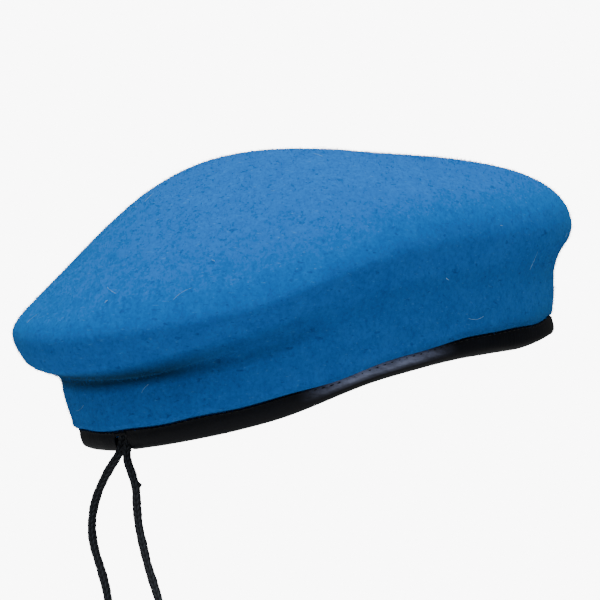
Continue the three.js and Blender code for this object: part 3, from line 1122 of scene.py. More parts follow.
@dataclass
class Nap:
    """Loose wool fibres that stand off the felt, and pale lint caught on it.

    A fibre is a spike on three corners, at the turns of SPIKE. A hair has RINGS rings of SIDES points.

    Attributes:
        grid: Points of the felt's outer face, round the head and up, in metres.
        fibres: How many fibres.
        thickness: Thickness of a fibre at its root, in metres.
        lint: How many stray hairs and flecks.
        seed: Start of the random draws.
    """

    SPIKE: ClassVar[Triple] = (0.0, 2.094, 4.189)
    RINGS: ClassVar[int] = 9
    SIDES: ClassVar[int] = 4

    grid: Points
    fibres: int = 46000
    thickness: float = 0.00011
    lint: int = 36
    seed: int = 11

    def __post_init__(self) -> None:
        """Work out the size and outward direction of each patch of felt."""
        self.dice = np.random.default_rng(self.seed)
        beside = np.roll(self.grid, -1, axis=0)
        self.corner = self.grid[:, :-1]
        self.along = (beside - self.grid)[:, :-1]
        self.rising = self.grid[:, 1:] - self.grid[:, :-1]
        across = np.cross(self.along, self.rising)
        self.size = np.linalg.norm(across, axis=-1)
        self.outward = across / np.maximum(self.size, 1e-15)[..., None]

    def roots(self, count: int) -> tuple[Points, Points]:
        """Pick places on the felt evenly by area.

        Args:
            count: How many places.

        Returns:
            The places and the outward direction at each.
        """
        share = np.cumsum(self.size.ravel())
        cell = np.searchsorted(share, self.dice.random(count) * share[-1])
        u, v = self.dice.random((2, count, 1))
        place = (self.corner.reshape(-1, 3)[cell] + u * self.along.reshape(-1, 3)[cell]
                 + v * self.rising.reshape(-1, 3)[cell])
        return place, self.outward.reshape(-1, 3)[cell]

    def lean(self, outward: Points, low: float, high: float) -> Points:
        """Pick directions that lean away from square to the felt.

        Args:
            outward: The outward direction at each place.
            low: Least lean, in degrees.
            high: Most lean.

        Returns:
            One direction a place.
        """
        loose = self.dice.normal(size=outward.shape)
        level = loose - outward * (loose * outward).sum(axis=1, keepdims=True)
        level /= np.linalg.norm(level, axis=1, keepdims=True)
        tilt = np.radians(self.dice.uniform(low, high, (len(outward), 1)))
        return outward * np.cos(tilt) + level * np.sin(tilt)

    def build_fibres(self) -> bpy.types.Object:
        """Build the fibres as slim spikes."""
        root, outward = self.roots(self.fibres)
        ahead = self.lean(outward, 35.0, 82.0)
        length = np.clip(self.dice.lognormal(math.log(0.0013), 0.35, (self.fibres, 1)), 0.0006, 0.0028)
        side = np.cross(ahead, outward)
        side /= np.linalg.norm(side, axis=1, keepdims=True)
        over = np.cross(ahead, side)
        corners = [root + self.thickness / 2 * (math.cos(t) * side + math.sin(t) * over) - 0.0001 * outward
                   for t in self.SPIKE]
        points = np.stack([*corners, root + ahead * length], axis=1).reshape(-1, 3)
        faces = []
        for i in range(0, 4 * self.fibres, 4):
            faces += [(i, i + 1, i + 3), (i + 1, i + 2, i + 3), (i + 2, i, i + 3)]
        return self.finish("felt_nap", points, faces)

    def build_lint(self) -> bpy.types.Object:
        """Build the pale hairs, each a thin bent thread that lies on the felt."""
        root, outward = self.roots(self.lint)
        ahead = self.lean(outward, 84.0, 90.0)
        points, faces = [], []
        for i in range(self.lint):
            fleck = i % 3 == 0
            length = self.dice.uniform(0.0008, 0.002) if fleck else self.dice.uniform(0.004, 0.009)
            bend = np.cross(outward[i], ahead[i]) * self.dice.uniform(-0.4, 0.4)
            run = np.linspace(0.0, 1.0, self.RINGS)[:, None]
            line = root[i] + outward[i] * (0.0004 + 0.0006 * run * (1 - run)) + ahead[i] * length * run
            line = line + bend * length * run * (1 - run)
            thick = 0.00014 if fleck else 0.00006
            side = np.cross(ahead[i], outward[i])
            turns = np.arange(self.SIDES) * math.pi / 2
            ring = [line + thick * (math.cos(t) * side + math.sin(t) * outward[i]) for t in turns]
            start = len(points) * self.RINGS * self.SIDES
            end = start + (self.RINGS - 1) * self.SIDES
            points.append(np.stack(ring, axis=1).reshape(-1, 3))
            for low in range(start, end, self.SIDES):
                for m in range(self.SIDES):
                    a, b = low + m, low + (m + 1) % self.SIDES
                    faces.append((a, b, b + self.SIDES, a + self.SIDES))
            faces.append(tuple(range(start + self.SIDES - 1, start - 1, -1)))
            faces.append(tuple(range(end, end + self.SIDES)))
        return self.finish("stray_lint", np.concatenate(points), faces)

    @staticmethod
    def finish(name: str, points: Points, faces: Faces) -> bpy.types.Object:
        """Make the piece and let it ride with the beret.

        Args:
            name: The piece's name.
            points: Corners, in metres.
            faces: Corner indices of each face.

        Returns:
            The piece.
        """
        mesh = bpy.data.meshes.new(name)
        mesh.from_pydata(points.tolist(), [], faces)
        piece = bpy.data.objects.new(name, mesh)
        bpy.context.scene.collection.objects.link(piece)
        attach(piece, Body.BERET.value)
        return piece


# ---------------------------------------------------------------- binding


@dataclass
class LeatherBinding:
    """The leather strip folded round the crown's raw edge, with its slot at the nape.

    Attributes:
        around: Points round the head.
        leather: Thickness, in millimetres.
        height: Height of the outer leaf.
        inner_height: Height of the leaf against the head.
        fold: Inner radius of the fold round the cord.
        strip: Length and width of the cut strip, in metres. Not used.
        slot_width: Width of the slot.
        slot_height: Height of the slot.
        slot_side: Shift of the slot from the nape, counted towards the wearer's left.
        sheen_grows: Bearings, in degrees, over which the painted sheen begins.
        sheen_fades: Bearings over which it ends.
        sheen_height: Heights over which it begins.
    """

    # Name of the painted sheen: a pale stretch on the outer leaf at the side.
    PAINTED_SHEEN: ClassVar[str] = "painted_sheen"

    around: int = 540
    leather: float = 1.0
    height: float = 8.4
    inner_height: float = 13.6
    fold: float = 2.0
    strip: tuple[float, float] = (0.600, 0.0255)
    slot_width: float = 8.2
    slot_height: float = 6.5
    slot_side: float = -2.0
    sheen_grows: tuple[float, float] = (229, 244)
    sheen_fades: tuple[float, float] = (254, 270)
    sheen_height: tuple[float, float] = (2.3, 3.9)

    @property
    def outer_face(self) -> float:
        """Offset of the outer leaf's outer face."""
        return -FORM.wool / 2 + self.fold + self.leather

    def profile(self) -> list[tuple[float, float]]:
        """Work out the strip's section.

        Returns:
            Its closed outline, as offsets from the wool's face and heights over the binding's edge.
        """
        middle = -FORM.wool / 2
        centre = self.leather + self.fold
        reach = self.fold + self.leather

        def arc(radius: float, start: float, end: float) -> list[tuple[float, float]]:
            """Follow the fold.

            Args:
                radius: Distance from the fold's centre.
                start: Angle to start at.
                end: Angle to end at.

            Returns:
                The points.
            """
            turns = np.linspace(start, end, 9)
            return [(middle + radius * math.cos(t), centre + radius * math.sin(t)) for t in turns]

        outer, head = middle + reach, middle - reach
        side = np.linspace(self.height - 0.5, centre + 0.6, 6)
        outline = [(outer - 0.45, self.height), (outer - 0.1, self.height - 0.15)]
        outline += [(outer + 0.12 * math.sin((u - centre) * 0.9), u) for u in side]
        outline += arc(reach, 0.0, -math.pi)
        outline += [(head, u) for u in (5.5, 8.0, 11.0, self.inner_height - 0.3)]
        outline += [(head + 0.3, self.inner_height), (head + 0.7, self.inner_height)]
        outline += [(head + self.leather, u) for u in (self.inner_height - 0.3, 11.0, 8.0, 5.5)]
        outline += arc(self.fold, -math.pi, 0.0)
        outline += [(outer - self.leather, u) for u in (5.0, 6.5, self.height - 0.2)]
        return outline

    def build(self) -> bpy.types.Object:
        """Build the strip and cut its slot."""
        section = np.asarray(self.profile())
        a, k = np.meshgrid(evenly_round(self.around), np.arange(len(section)), indexing="ij")
        out, up = section[k, 0], section[k, 1]
        plain = FORM.beside_band(a, out, up)
        ripple = 0.22 * wander(plain * (1, 1, 0.3), 0.12, 41.0) + 0.07 * wander(plain, 0.5, 57.0)
        outward = np.clip(out / 1.7, 0, 1)
        leaf = outward * np.clip((up - 4.0) / (self.height - 4.0), 0, 1)
        lowered = up - WoolCrown.cover(a) * leaf
        points = FORM.beside_band(a, out + ripple * outward, lowered + 0.25 * wander(plain, 0.05, 71.0))
        piece = new_piece("leather_binding", FORM.worn(points), wrap_faces(self.around, len(section)))
        turn = bearing(a)
        # Painted sheen: a pale stretch on the outer leaf at the side, carried to the leather's colour.
        stretch = step(turn, *self.sheen_grows) * (1 - step(turn, *self.sheen_fades))
        painted_sheen = stretch * step(up, *self.sheen_height) * (outward > 0)
        worn = piece.data.attributes.new(self.PAINTED_SHEEN, "FLOAT", "POINT")
        worn.data.foreach_set("value", painted_sheen.ravel().astype(np.float32))
        self.cut_slot(piece)
        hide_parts("binding")
        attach(piece, Body.BERET.value)
        return piece

    def cut_slot(self, piece: bpy.types.Object) -> None:
        """Open the slot for the cord in the outer leaf and the fold.

        Args:
            piece: The binding.
        """
        deselect()
        middle = FORM.beside_band(np.array(REAR), np.array(1.3), np.array(self.slot_height / 2 - 3.0))
        middle[1] = self.slot_side
        middle = FORM.worn(middle)
        bpy.ops.mesh.primitive_cube_add(size=1.0, location=tuple(middle), rotation=(0, -FORM.pitch, 0))
        cutter = bpy.context.active_object
        cutter.scale = (9.0 * MM, self.slot_width * MM, (self.slot_height + 6.0) * MM)
        bpy.ops.object.transform_apply(location=True, rotation=True, scale=True)
        bpy.ops.object.mode_set(mode="EDIT")
        bpy.ops.mesh.select_all(action="SELECT")
        bpy.ops.mesh.bevel(offset=1.6 * MM, segments=4)
        bpy.ops.object.mode_set(mode="OBJECT")
        knife = piece.modifiers.new("slot", "BOOLEAN")
        knife.operation = "DIFFERENCE"
        knife.solver = "EXACT"
        knife.object = cutter
        bpy.context.view_layer.objects.active = piece
        bpy.ops.object.modifier_apply(modifier=knife.name)
        bpy.data.objects.remove(cutter, do_unlink=True)

    def declare(self, piece: bpy.types.Object) -> None:
        """Do nothing: the cut strip is not stated here."""


def deselect() -> None:
    """Leave nothing selected."""
    for piece in bpy.context.selected_objects:
        piece.select_set(False)


# ---------------------------------------------------------------- lining and label


@dataclass
class Lining:
    """The satin lining: a round top and a side joined by a seam.

    Attributes:
        around: Points round the head.
        inset: Depth under the wool's outer face, in millimetres.
        cloth: Thickness.
        seam_row: Row of the seam between side and top.
        top_disc: Diameter of the cut top, in metres. Not used.
        side_strip: Length and width of the cut side, in metres. Not used.
        foot_row: Row of the side's lower edge.
        last_row: Row of the top's last ring of points.
        seam_gap: Rows from the seam to each panel.
        side_depth: How much deeper than the inset the side lies.
        top_depth: How much deeper the top lies.
    """

    around: int = 240
    inset: float = 4.1
    cloth: float = 0.5
    seam_row: float = 1.04
    top_disc: float = 0.232
    side_strip: tuple[float, float] = (0.630, 0.036)
    foot_row: float = 0.34
    last_row: float = 1.97
    seam_gap: float = 0.012
    side_depth: float = 0.65
    top_depth: float = 0.15

    def gathers(self, angle: Points, row: Points) -> Points:
        """Small puckers along the lining's seams, in millimetres."""
        near = Hill(self.seam_row, 0.12).at(row) + Hill(self.foot_row, 0.12, 0.6).at(row)
        return near * (0.45 * np.sin(angle * 58 + 2.0 * np.sin(angle * 7)) + 0.2 * np.sin(angle * 97 + 1.3))

    def side(self) -> bpy.types.Object:
        """Build the side panel."""
        rows = np.linspace(self.foot_row, self.seam_row - self.seam_gap, 22)
        a, r = np.meshgrid(evenly_round(self.around), rows, indexing="ij")
        gather = self.gathers(a, r)
        inset = self.inset + self.side_depth
        deep = FORM.depth(a, r, inset + gather)
        back = FORM.depth(a[:, ::-1], r[:, ::-1], inset - self.cloth + gather[:, ::-1])
        section = np.concatenate([back[:, ::-1], deep[:, ::-1]], axis=1)
        faces = wrap_faces(self.around, section.shape[1])
        piece = new_piece("lining_side_panel", FORM.worn(section), faces)
        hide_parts("lining_side")
        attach(piece, Body.BERET.value)
        return piece

    def top(self) -> bpy.types.Object:
        """Build the round top panel."""
        rows = np.linspace(self.seam_row + self.seam_gap, self.last_row, 24)
        a, r = np.meshgrid(evenly_round(self.around), rows, indexing="ij")
        gather = self.gathers(a, r)
        inset = self.inset + self.top_depth
        outer = FORM.depth(a, r, inset + gather)
        inner = FORM.depth(a, r, inset + self.cloth + gather)
        section = np.concatenate([outer, inner[:, ::-1]], axis=1)
        apex = np.asarray(FORM.apex)
        tips = (apex - (0, 0, inset), apex - (0, 0, inset + self.cloth))
        points, faces = capped(section, len(rows) - 1, tips)
        piece = new_piece("lining_top_panel", FORM.worn(points), faces)
        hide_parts("lining_top")
        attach(piece, Body.BERET.value)
        return piece


@dataclass
class SizeLabel:
    """The blank tape label inside the nape.

    Attributes:
        half_turn: Half its width, as an angle round the head.
        rows: Lower and upper rows of the crown that it spans.
        inset: Depth under the wool's outer face, in millimetres.
        tape: Thickness.
        curl: How far the upper and lower edges lift.
        cut: Width and height of the cut tape, in metres. Not used.
    """

    half_turn: float = 0.131
    rows: tuple[float, float] = (0.417, 0.583)
    inset: float = 5.35
    tape: float = 0.35
    curl: float = 0.35
    cut: tuple[float, float] = (0.0255, 0.0125)

    def build(self) -> bpy.types.Object:
        """Build the label."""
        angles = np.linspace(REAR - self.half_turn, REAR + self.half_turn, 29)
        rows = np.linspace(*self.rows, 15)
        a, r = np.meshgrid(angles, rows, indexing="ij")
        lift = self.curl * (2 * (r - rows[0]) / (rows[-1] - rows[0]) - 1) ** 4 * np.cos(a * 60) ** 2
        outer = FORM.depth(a, r, self.inset + lift)
        inner = FORM.depth(a, r, self.inset + self.tape + lift)
        layer = outer.shape[0] * outer.shape[1]
        points = np.concatenate([outer.reshape(-1, 3), inner.reshape(-1, 3)])
        across, tall = outer.shape[:2]
        faces = wrap_faces(across, tall, False, False)
        faces += [tuple(i + layer for i in reversed(f)) for f in faces]
        edge = [i * tall for i in range(across)] + [(across - 1) * tall + k for k in range(1, tall)]
        edge += [i * tall + tall - 1 for i in range(across - 2, -1, -1)] + list(range(tall - 2, 0, -1))
        for start, end in zip(edge, edge[1:] + edge[:1]):
            faces.append((start, start + layer, end + layer, end))
        piece = new_piece("tape_label", FORM.worn(points), faces)
        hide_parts("size_label")
        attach(piece, Body.BERET.value)
        return piece


# ---------------------------------------------------------------- stitching


@dataclass
class Stitching:
    """Rows of separate stitches, each a short rounded bar of thread.

    Attributes:
        thread: Thread thickness, in millimetres.
        length: Length of a stitch.
        pitch: Distance from one stitch to the next.
        band_length: Length of a row round the band.
        seam_length: Length of a row round the lining's seam.
        tack_pitch: Distance between the bar tack's stitches.
        dip: How far a stitch's ends dip, as a share of the thread.
        pinch: How far its ends narrow.
    """

    thread: float = 0.55
    length: float = 2.3
    pitch: float = 3.0
    band_length: float = 590.0
    seam_length: float = 640.0
    tack_pitch: float = 0.42
    dip: float = 0.45
    pinch: float = 0.35

    def stitch(self) -> bpy.types.Object:
        """Model one stitch along X, with its ends dipping into the cloth."""
        deselect()
        bpy.ops.mesh.primitive_cylinder_add(vertices=8, radius=self.thread * MM / 2, depth=self.length * MM,
                                            end_fill_type="NGON", rotation=(0, math.pi / 2, 0))
        bar = bpy.context.active_object
        bpy.ops.object.transform_apply(location=True, rotation=True, scale=True)
        bpy.ops.object.mode_set(mode="EDIT")
        bpy.ops.mesh.select_all(action="SELECT")
        bpy.ops.mesh.bisect(plane_co=(0, 0, 0), plane_no=(1, 0, 0))
        bpy.ops.object.mode_set(mode="OBJECT")
        for corner in bar.data.vertices:
            reach = abs(corner.co.x) / (self.length * MM / 2)
            corner.co.z -= self.dip * self.thread * MM * reach**2
            corner.co.y *= 1 - self.pinch * reach**2
        return bar

    def row(self, name: str, spots: list[tuple[Points, Points, Points]]) -> bpy.types.Object:
        """Copy the stitch along a row and join the copies.

        Args:
            name: The row's name.
            spots: Centre, direction along the row and outward direction of each stitch, in metres.

        Returns:
            The joined row.
        """
        first = self.stitch()
        base = np.array([tuple(c.co) for c in first.data.vertices])
        polygons = [tuple(p.vertices) for p in first.data.polygons]
        bpy.data.objects.remove(first, do_unlink=True)
        points, faces = [], []
        for centre, along, outwards in spots:
            along = along / np.linalg.norm(along)
            side = np.cross(outwards, along)
            side /= np.linalg.norm(side)
            up = np.cross(along, side)
            start = len(points) * len(base)
            points.append(centre + base[:, :1] * along + base[:, 1:2] * side + base[:, 2:3] * up)
            faces += [tuple(i + start for i in p) for p in polygons]
        piece = new_piece(name, np.concatenate(points), faces)
        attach(piece, Body.BERET.value)
        return piece

    def band_row(self, name: str, offset: float, height: float, outwards: float) -> bpy.types.Object:
        """Stitches all round the band.

        Args:
            name: The row's name.
            offset: Offset of the stitch line from the wool's face.
            height: Height over the binding's lower edge.
            outwards: 1 on the outside, -1 against the head.

        Returns:
            The row.
        """
        count = round(self.band_length / self.pitch)
        spots = []
        for i in range(count):
            angle = np.array(i / count * 2 * math.pi)
            level = height - WoolCrown.cover(angle) * max(outwards, 0)
            here = FORM.worn(FORM.beside_band(angle, np.array(offset), level))
            ahead = FORM.worn(FORM.beside_band(angle + 0.01, np.array(offset), level))
            away = FORM.worn(FORM.beside_band(angle, np.array(offset + outwards), level))
            spots.append((here, ahead - here, (away - here) / MM))
        return self.row(name, spots)

    def crown_row(self, name: str, row: float, inset: float) -> bpy.types.Object:
        """Stitches all round the lining.

        Args:
            name: The row's name.
            row: Row of the crown that the stitches follow.
            inset: Depth under the wool's outer face, in millimetres.

        Returns:
            The row.
        """
        count = round(self.seam_length / self.pitch)
        spots = []
        for i in range(count):
            angle, level = np.array([i / count * 2 * math.pi]), np.array([row])
            here = FORM.worn(FORM.depth(angle, level, np.array([inset])))[0]
            ahead = FORM.worn(FORM.depth(angle + 0.01, level, np.array([inset])))[0]
            inward = FORM.worn(FORM.depth(angle, level, np.array([inset + 1.0])))[0]
            spots.append((here, ahead - here, (inward - here) / MM))
        return self.row(name, spots)

    def bar_tack(self, name: str, offset: float, low: float, high: float, width: float) -> bpy.types.Object:
        """Close upright stitches above the slot.

        Args:
            name: The block's name.
            offset: Offset of the stitches from the wool's face, in millimetres.
            low: Height of their lower ends over the binding's edge.
            high: Height of their upper ends.
            width: Width of the block.

        Returns:
            The block.
        """
        spots = []
        for y in np.arange(-width / 2, width / 2 + 0.01, self.tack_pitch):
            middle = FORM.beside_band(np.array(REAR), np.array(offset), np.array((low + high) / 2))
            middle[1] = LeatherBinding.slot_side + y
            here = FORM.worn(middle)
            up = FORM.worn(middle + (0, 0, 1.0)) - here
            spots.append((here, up, FORM.worn(middle + (-1.0, 0, 0)) - here))
        return self.row(name, spots)


# ---------------------------------------------------------------- drawcord


class BraidMaker:
    """Makes closed braided tubes and marks the crowns of their strands.

    GROUND is the cord's radius between strands and STRAND what a strand's crown adds, as shares of the
    radius. LOOP_HEIGHT, LOOP_LENGTH and LOOP_TURN are a pulled loop's size, the last in turns.
    """

    RIDGE: ClassVar[str] = "ridge"
    GROUND: ClassVar[float] = 0.84
    STRAND: ClassVar[float] = 0.18
    LOOP_HEIGHT: ClassVar[float] = 0.0010
    LOOP_LENGTH: ClassVar[float] = 0.0008
    LOOP_TURN: ClassVar[float] = 0.10

    @staticmethod
    def smooth(route: Points, step: float) -> Points:
        """Lay evenly spaced points along a smooth curve through a route.

        Args:
            route: The points to pass through.
            step: Distance between the new points, in metres.

        Returns:
            The new points.
        """
        row = np.vstack([2 * route[0] - route[1], route, 2 * route[-1] - route[-2]])
        fine = []
        for i in range(len(route) - 1):
            for f in np.linspace(0, 1, 24, endpoint=False):
                fine.append(between(*row[i : i + 4], f))
        fine.append(route[-1])
        fine = np.asarray(fine)
        run = np.concatenate([[0], np.cumsum(np.linalg.norm(np.diff(fine, axis=0), axis=1))])
        stops = np.linspace(0, run[-1], max(3, round(run[-1] / step)))
        return np.stack([np.interp(stops, run, fine[:, k]) for k in range(3)], axis=1)

    @staticmethod
    def weave(turn: Points, along: Points, columns: int, pitch: float) -> Points:
        """Height of a herringbone plait, from 0 to 1.

        Args:
            turn: Place round the cord, in turns.
            along: Place along the cord, in metres.
            columns: Columns of strands round the cord.
            pitch: Length of one strand's crown, in metres.

        Returns:
            The height at each point.
        """
        column = turn * columns
        slant = np.abs(2 * (column - np.floor(column)) - 1)
        stitch = along / pitch + 0.9 * slant
        crown = np.sqrt(np.clip(1 - (2 * (stitch - np.floor(stitch)) - 1) ** 2, 0, 1))
        half = 2 * column - np.floor(2 * column)
        return crown * (0.45 + 0.55 * np.sin(math.pi * half))

    @classmethod
    def tube(cls, name: str, line: Points, radius: float, columns: int = 4, pitch: float = 0.0023,
             around: int = 40, flat: float = 1.0, face: Triple = (0.0, 1.0, 0.3),
             snag: tuple[float, float] | None = None) -> bpy.types.Object:
        """Make a braided tube along a line.

        Args:
            name: The piece's name.
            line: Evenly spaced points, in metres.
            radius: Radius of the cord.
            columns: Columns of strands round the cord.
            pitch: Length of one strand's crown, in metres.
            around: Points round the cord.
            flat: Thickness of a flattened cord, as a share of its width.
            face: Direction that its thickness is turned square to.
            snag: Place along the cord, in metres, and turn of a pulled loop of yarn.

        Returns:
            The tube, with its strand height as an attribute.
        """
        ahead = np.gradient(line, axis=0)
        ahead /= np.linalg.norm(ahead, axis=1, keepdims=True)
        side = np.asarray(face) - ahead[0] * np.dot(face, ahead[0])
        sides = []
        for direction in ahead:
            side = side - direction * np.dot(side, direction)
            side /= np.linalg.norm(side)
            sides.append(side)
        sides = np.asarray(sides)
        over = np.cross(ahead, sides)
        run = np.concatenate([[0], np.cumsum(np.linalg.norm(np.diff(line, axis=0), axis=1))])
        turn, along = np.meshgrid(np.arange(around) / around, run, indexing="xy")
        height = cls.weave(turn, along, columns, pitch)
        ends = np.sqrt(np.clip(np.minimum(along, run[-1] - along) / (0.5 * radius), 0.05, 1))
        uneven = 0.04 * np.sin(along * 410 + 1.0) + 0.03 * np.sin(along * 1130)
        reach = radius * (cls.GROUND + cls.STRAND * height + uneven) * ends
        if snag is not None:
            place, way = snag
            beside = np.abs(np.mod(turn - way + 0.5, 1.0) - 0.5)
            loop = Hill(place, cls.LOOP_LENGTH, cls.LOOP_HEIGHT).at(along)
            reach = reach + loop * Hill(0.0, cls.LOOP_TURN).at(beside)
        phi = turn * 2 * math.pi
        points = (line[:, None] + (reach * np.cos(phi))[..., None] * sides[:, None]
                  + (reach * flat * np.sin(phi))[..., None] * over[:, None])
        faces = wrap_faces(len(line), around, False, True)
        last = len(line) * around
        for k in range(around):
            m = (k + 1) % around
            faces.append((k, m, last))
            faces.append((last - around + m, last - around + k, last + 1))
        piece = new_piece(name, np.concatenate([points.reshape(-1, 3), line[:1], line[-1:]]), faces)
        ridge = piece.data.attributes.new(cls.RIDGE, "FLOAT", "POINT")
        ridge.data.foreach_set("value", np.concatenate([height.ravel(), [0.0, 0.0]]).astype(np.float32))
        return piece


@dataclass
class CordTail:
    """One free end of the braided drawcord, with its root in the binding and the knot at its end.

    Attributes:
        side: left or right.
        body: The body that it rides on.
        route: Points from inside the slot to the knot, in metres.
        exit: Where it leaves the binding. Not used.
        diameter: Thickness of the cord, in metres.
        root_top: Height of the flattened root's top, in millimetres over the binding's edge.
        root_out: Offset of the root's middle.
        root_radius: Half the root's width, in metres.
        root_flat: The root's thickness as a share of its width.
        knot_radius: Radius of the cord in the knot, in metres.
        spacing: Distance between the tail's rings of points.
        knot_spacing: Distance between the knot's.
        snag: A pulled loop of yarn: its place along the cord, in metres, and its turn.
    """

    side: str
    body: Body
    route: Route
    exit: Triple
    diameter: float = 0.0035
    root_top: float = 12.7
    root_out: float = -2.05
    root_radius: float = 0.0017
    root_flat: float = 0.33
    knot_radius: float = 0.00145
    spacing: float = 0.00028
    knot_spacing: float = 0.0003
    snag: tuple[float, float] | None = None

    def knot_line(self) -> Points:
        """Route of the knot: the end turns round the cord, passes through and hangs free."""
        end = np.asarray(self.route[-1])
        turns = np.linspace(0, 1.75 * 2 * math.pi, 22)
        wrap = [(2.4 * math.cos(t), 2.4 * math.sin(t), -1.6 - 0.3 * t) for t in turns]
        start = [(0, 0, 0.6), (0.6, -0.8, -0.7)]
        loose_end = [(0.8, -1.2, -6.4), (0.2, -0.4, -8.2), (0.3, 0.1, -10.8)]
        return end + np.asarray([*start, *wrap, *loose_end]) * MM

    def root(self) -> bpy.types.Object:
        """Build the flattened stretch between wool and leather that follows the tail."""
        start = np.asarray(self.route[0])
        top = FORM.beside_band(np.array(REAR), np.array(self.root_out), np.array(self.root_top))
        top[1] = start[1] / MM
        line = np.linspace(start + (0, 0, 0.0002), FORM.worn(top), 30)
        return BraidMaker.tube(f"{self.side}_flattened_root", line, self.root_radius, around=32,
                               flat=self.root_flat, face=(0.0, 1.0, 0.0))

    def build(self) -> list[bpy.types.Object]:
        """Build the tail, its root and its knot."""
        line = BraidMaker.smooth(np.asarray(self.route), self.spacing)
        tail = BraidMaker.tube(f"{self.side}_braided_tail", line, self.diameter / 2, snag=self.snag)
        turns = BraidMaker.smooth(self.knot_line(), self.knot_spacing)
        knot = BraidMaker.tube(f"{self.side}_overhand_knot", turns, self.knot_radius, around=28)
        root = self.root()
        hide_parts(f"{self.side}_tail")
        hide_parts(f"{self.side}_knot")
        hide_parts(f"{self.side}_tail_root")
        for piece in (tail, knot, root):
            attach(piece, self.body.value)
        return [tail, knot, root]


@dataclass
class DrawcordLoop:
    """The stretch of the drawcord that stays in the binding's fold, all round the head.

    Attributes:
        diameter: Thickness of the cord, in metres.
        offset: Offset of the cord's middle from the wool's face, in millimetres.
        height: Its height over the binding's lower edge.
        gap: Half of what the slot leaves open, as an angle.
        rings: Rings of points along the cord.
        squeeze: Its radius in the fold, as a share of the free radius.
    """

    diameter: float = 0.0035
    offset: float = -1.3
    height: float = 3.0
    gap: float = 0.076
    rings: int = 900
    squeeze: float = 0.94

    def build(self) -> bpy.types.Object:
        """Build the loop."""
        start = REAR - math.asin(LeatherBinding.slot_side / FORM.semi_width) + self.gap
        angles = start + np.linspace(0, 2 * (math.pi - self.gap), self.rings)
        offsets, heights = np.full(self.rings, self.offset), np.full(self.rings, self.height)
        line = FORM.worn(FORM.beside_band(angles, offsets, heights))
        piece = BraidMaker.tube("hidden_braided_loop", line, self.squeeze * self.diameter / 2, around=20)
        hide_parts("drawcord_loop")
        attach(piece, Body.BERET.value)
        return piece


LEFT_ROUTE: Route = (
    (-0.1021, -0.0001, -0.0237), (-0.1018, -0.0001, -0.0256), (-0.1021, -0.0001, -0.0283),
    (-0.1029, 0.0001, -0.0311), (-0.1035, 0.0018, -0.0339), (-0.1037, 0.0052, -0.0371),
    (-0.1038, 0.0091, -0.0412), (-0.1038, 0.0134, -0.0468), (-0.1040, 0.0161, -0.0535),
    (-0.1041, 0.0167, -0.0610), (-0.1041, 0.0147, -0.0685), (-0.1037, 0.0111, -0.0765),
    (-0.1031, 0.0082, -0.0845), (-0.1026, 0.0066, -0.0930), (-0.1023, 0.0058, -0.1015),
    (-0.1022, 0.0055, -0.1100), (-0.1022, 0.0055, -0.1185),
)
RIGHT_ROUTE: Route = (
    (-0.1018, -0.0040, -0.0238), (-0.1015, -0.0040, -0.0257), (-0.1020, -0.0040, -0.0283),
    (-0.1028, -0.0041, -0.0311), (-0.1032, -0.0046, -0.0339), (-0.1034, -0.0060, -0.0371),
    (-0.1034, -0.0084, -0.0412), (-0.1034, -0.0108, -0.0468), (-0.1034, -0.0116, -0.0535),
    (-0.1034, -0.0129, -0.0610), (-0.1034, -0.0156, -0.0685), (-0.1033, -0.0187, -0.0765),
    (-0.1031, -0.0226, -0.0845), (-0.1029, -0.0266, -0.0930), (-0.1027, -0.0296, -0.1015),
    (-0.1026, -0.0310, -0.1100), (-0.1026, -0.0314, -0.1185),
)


# ---------------------------------------------------------------- studio


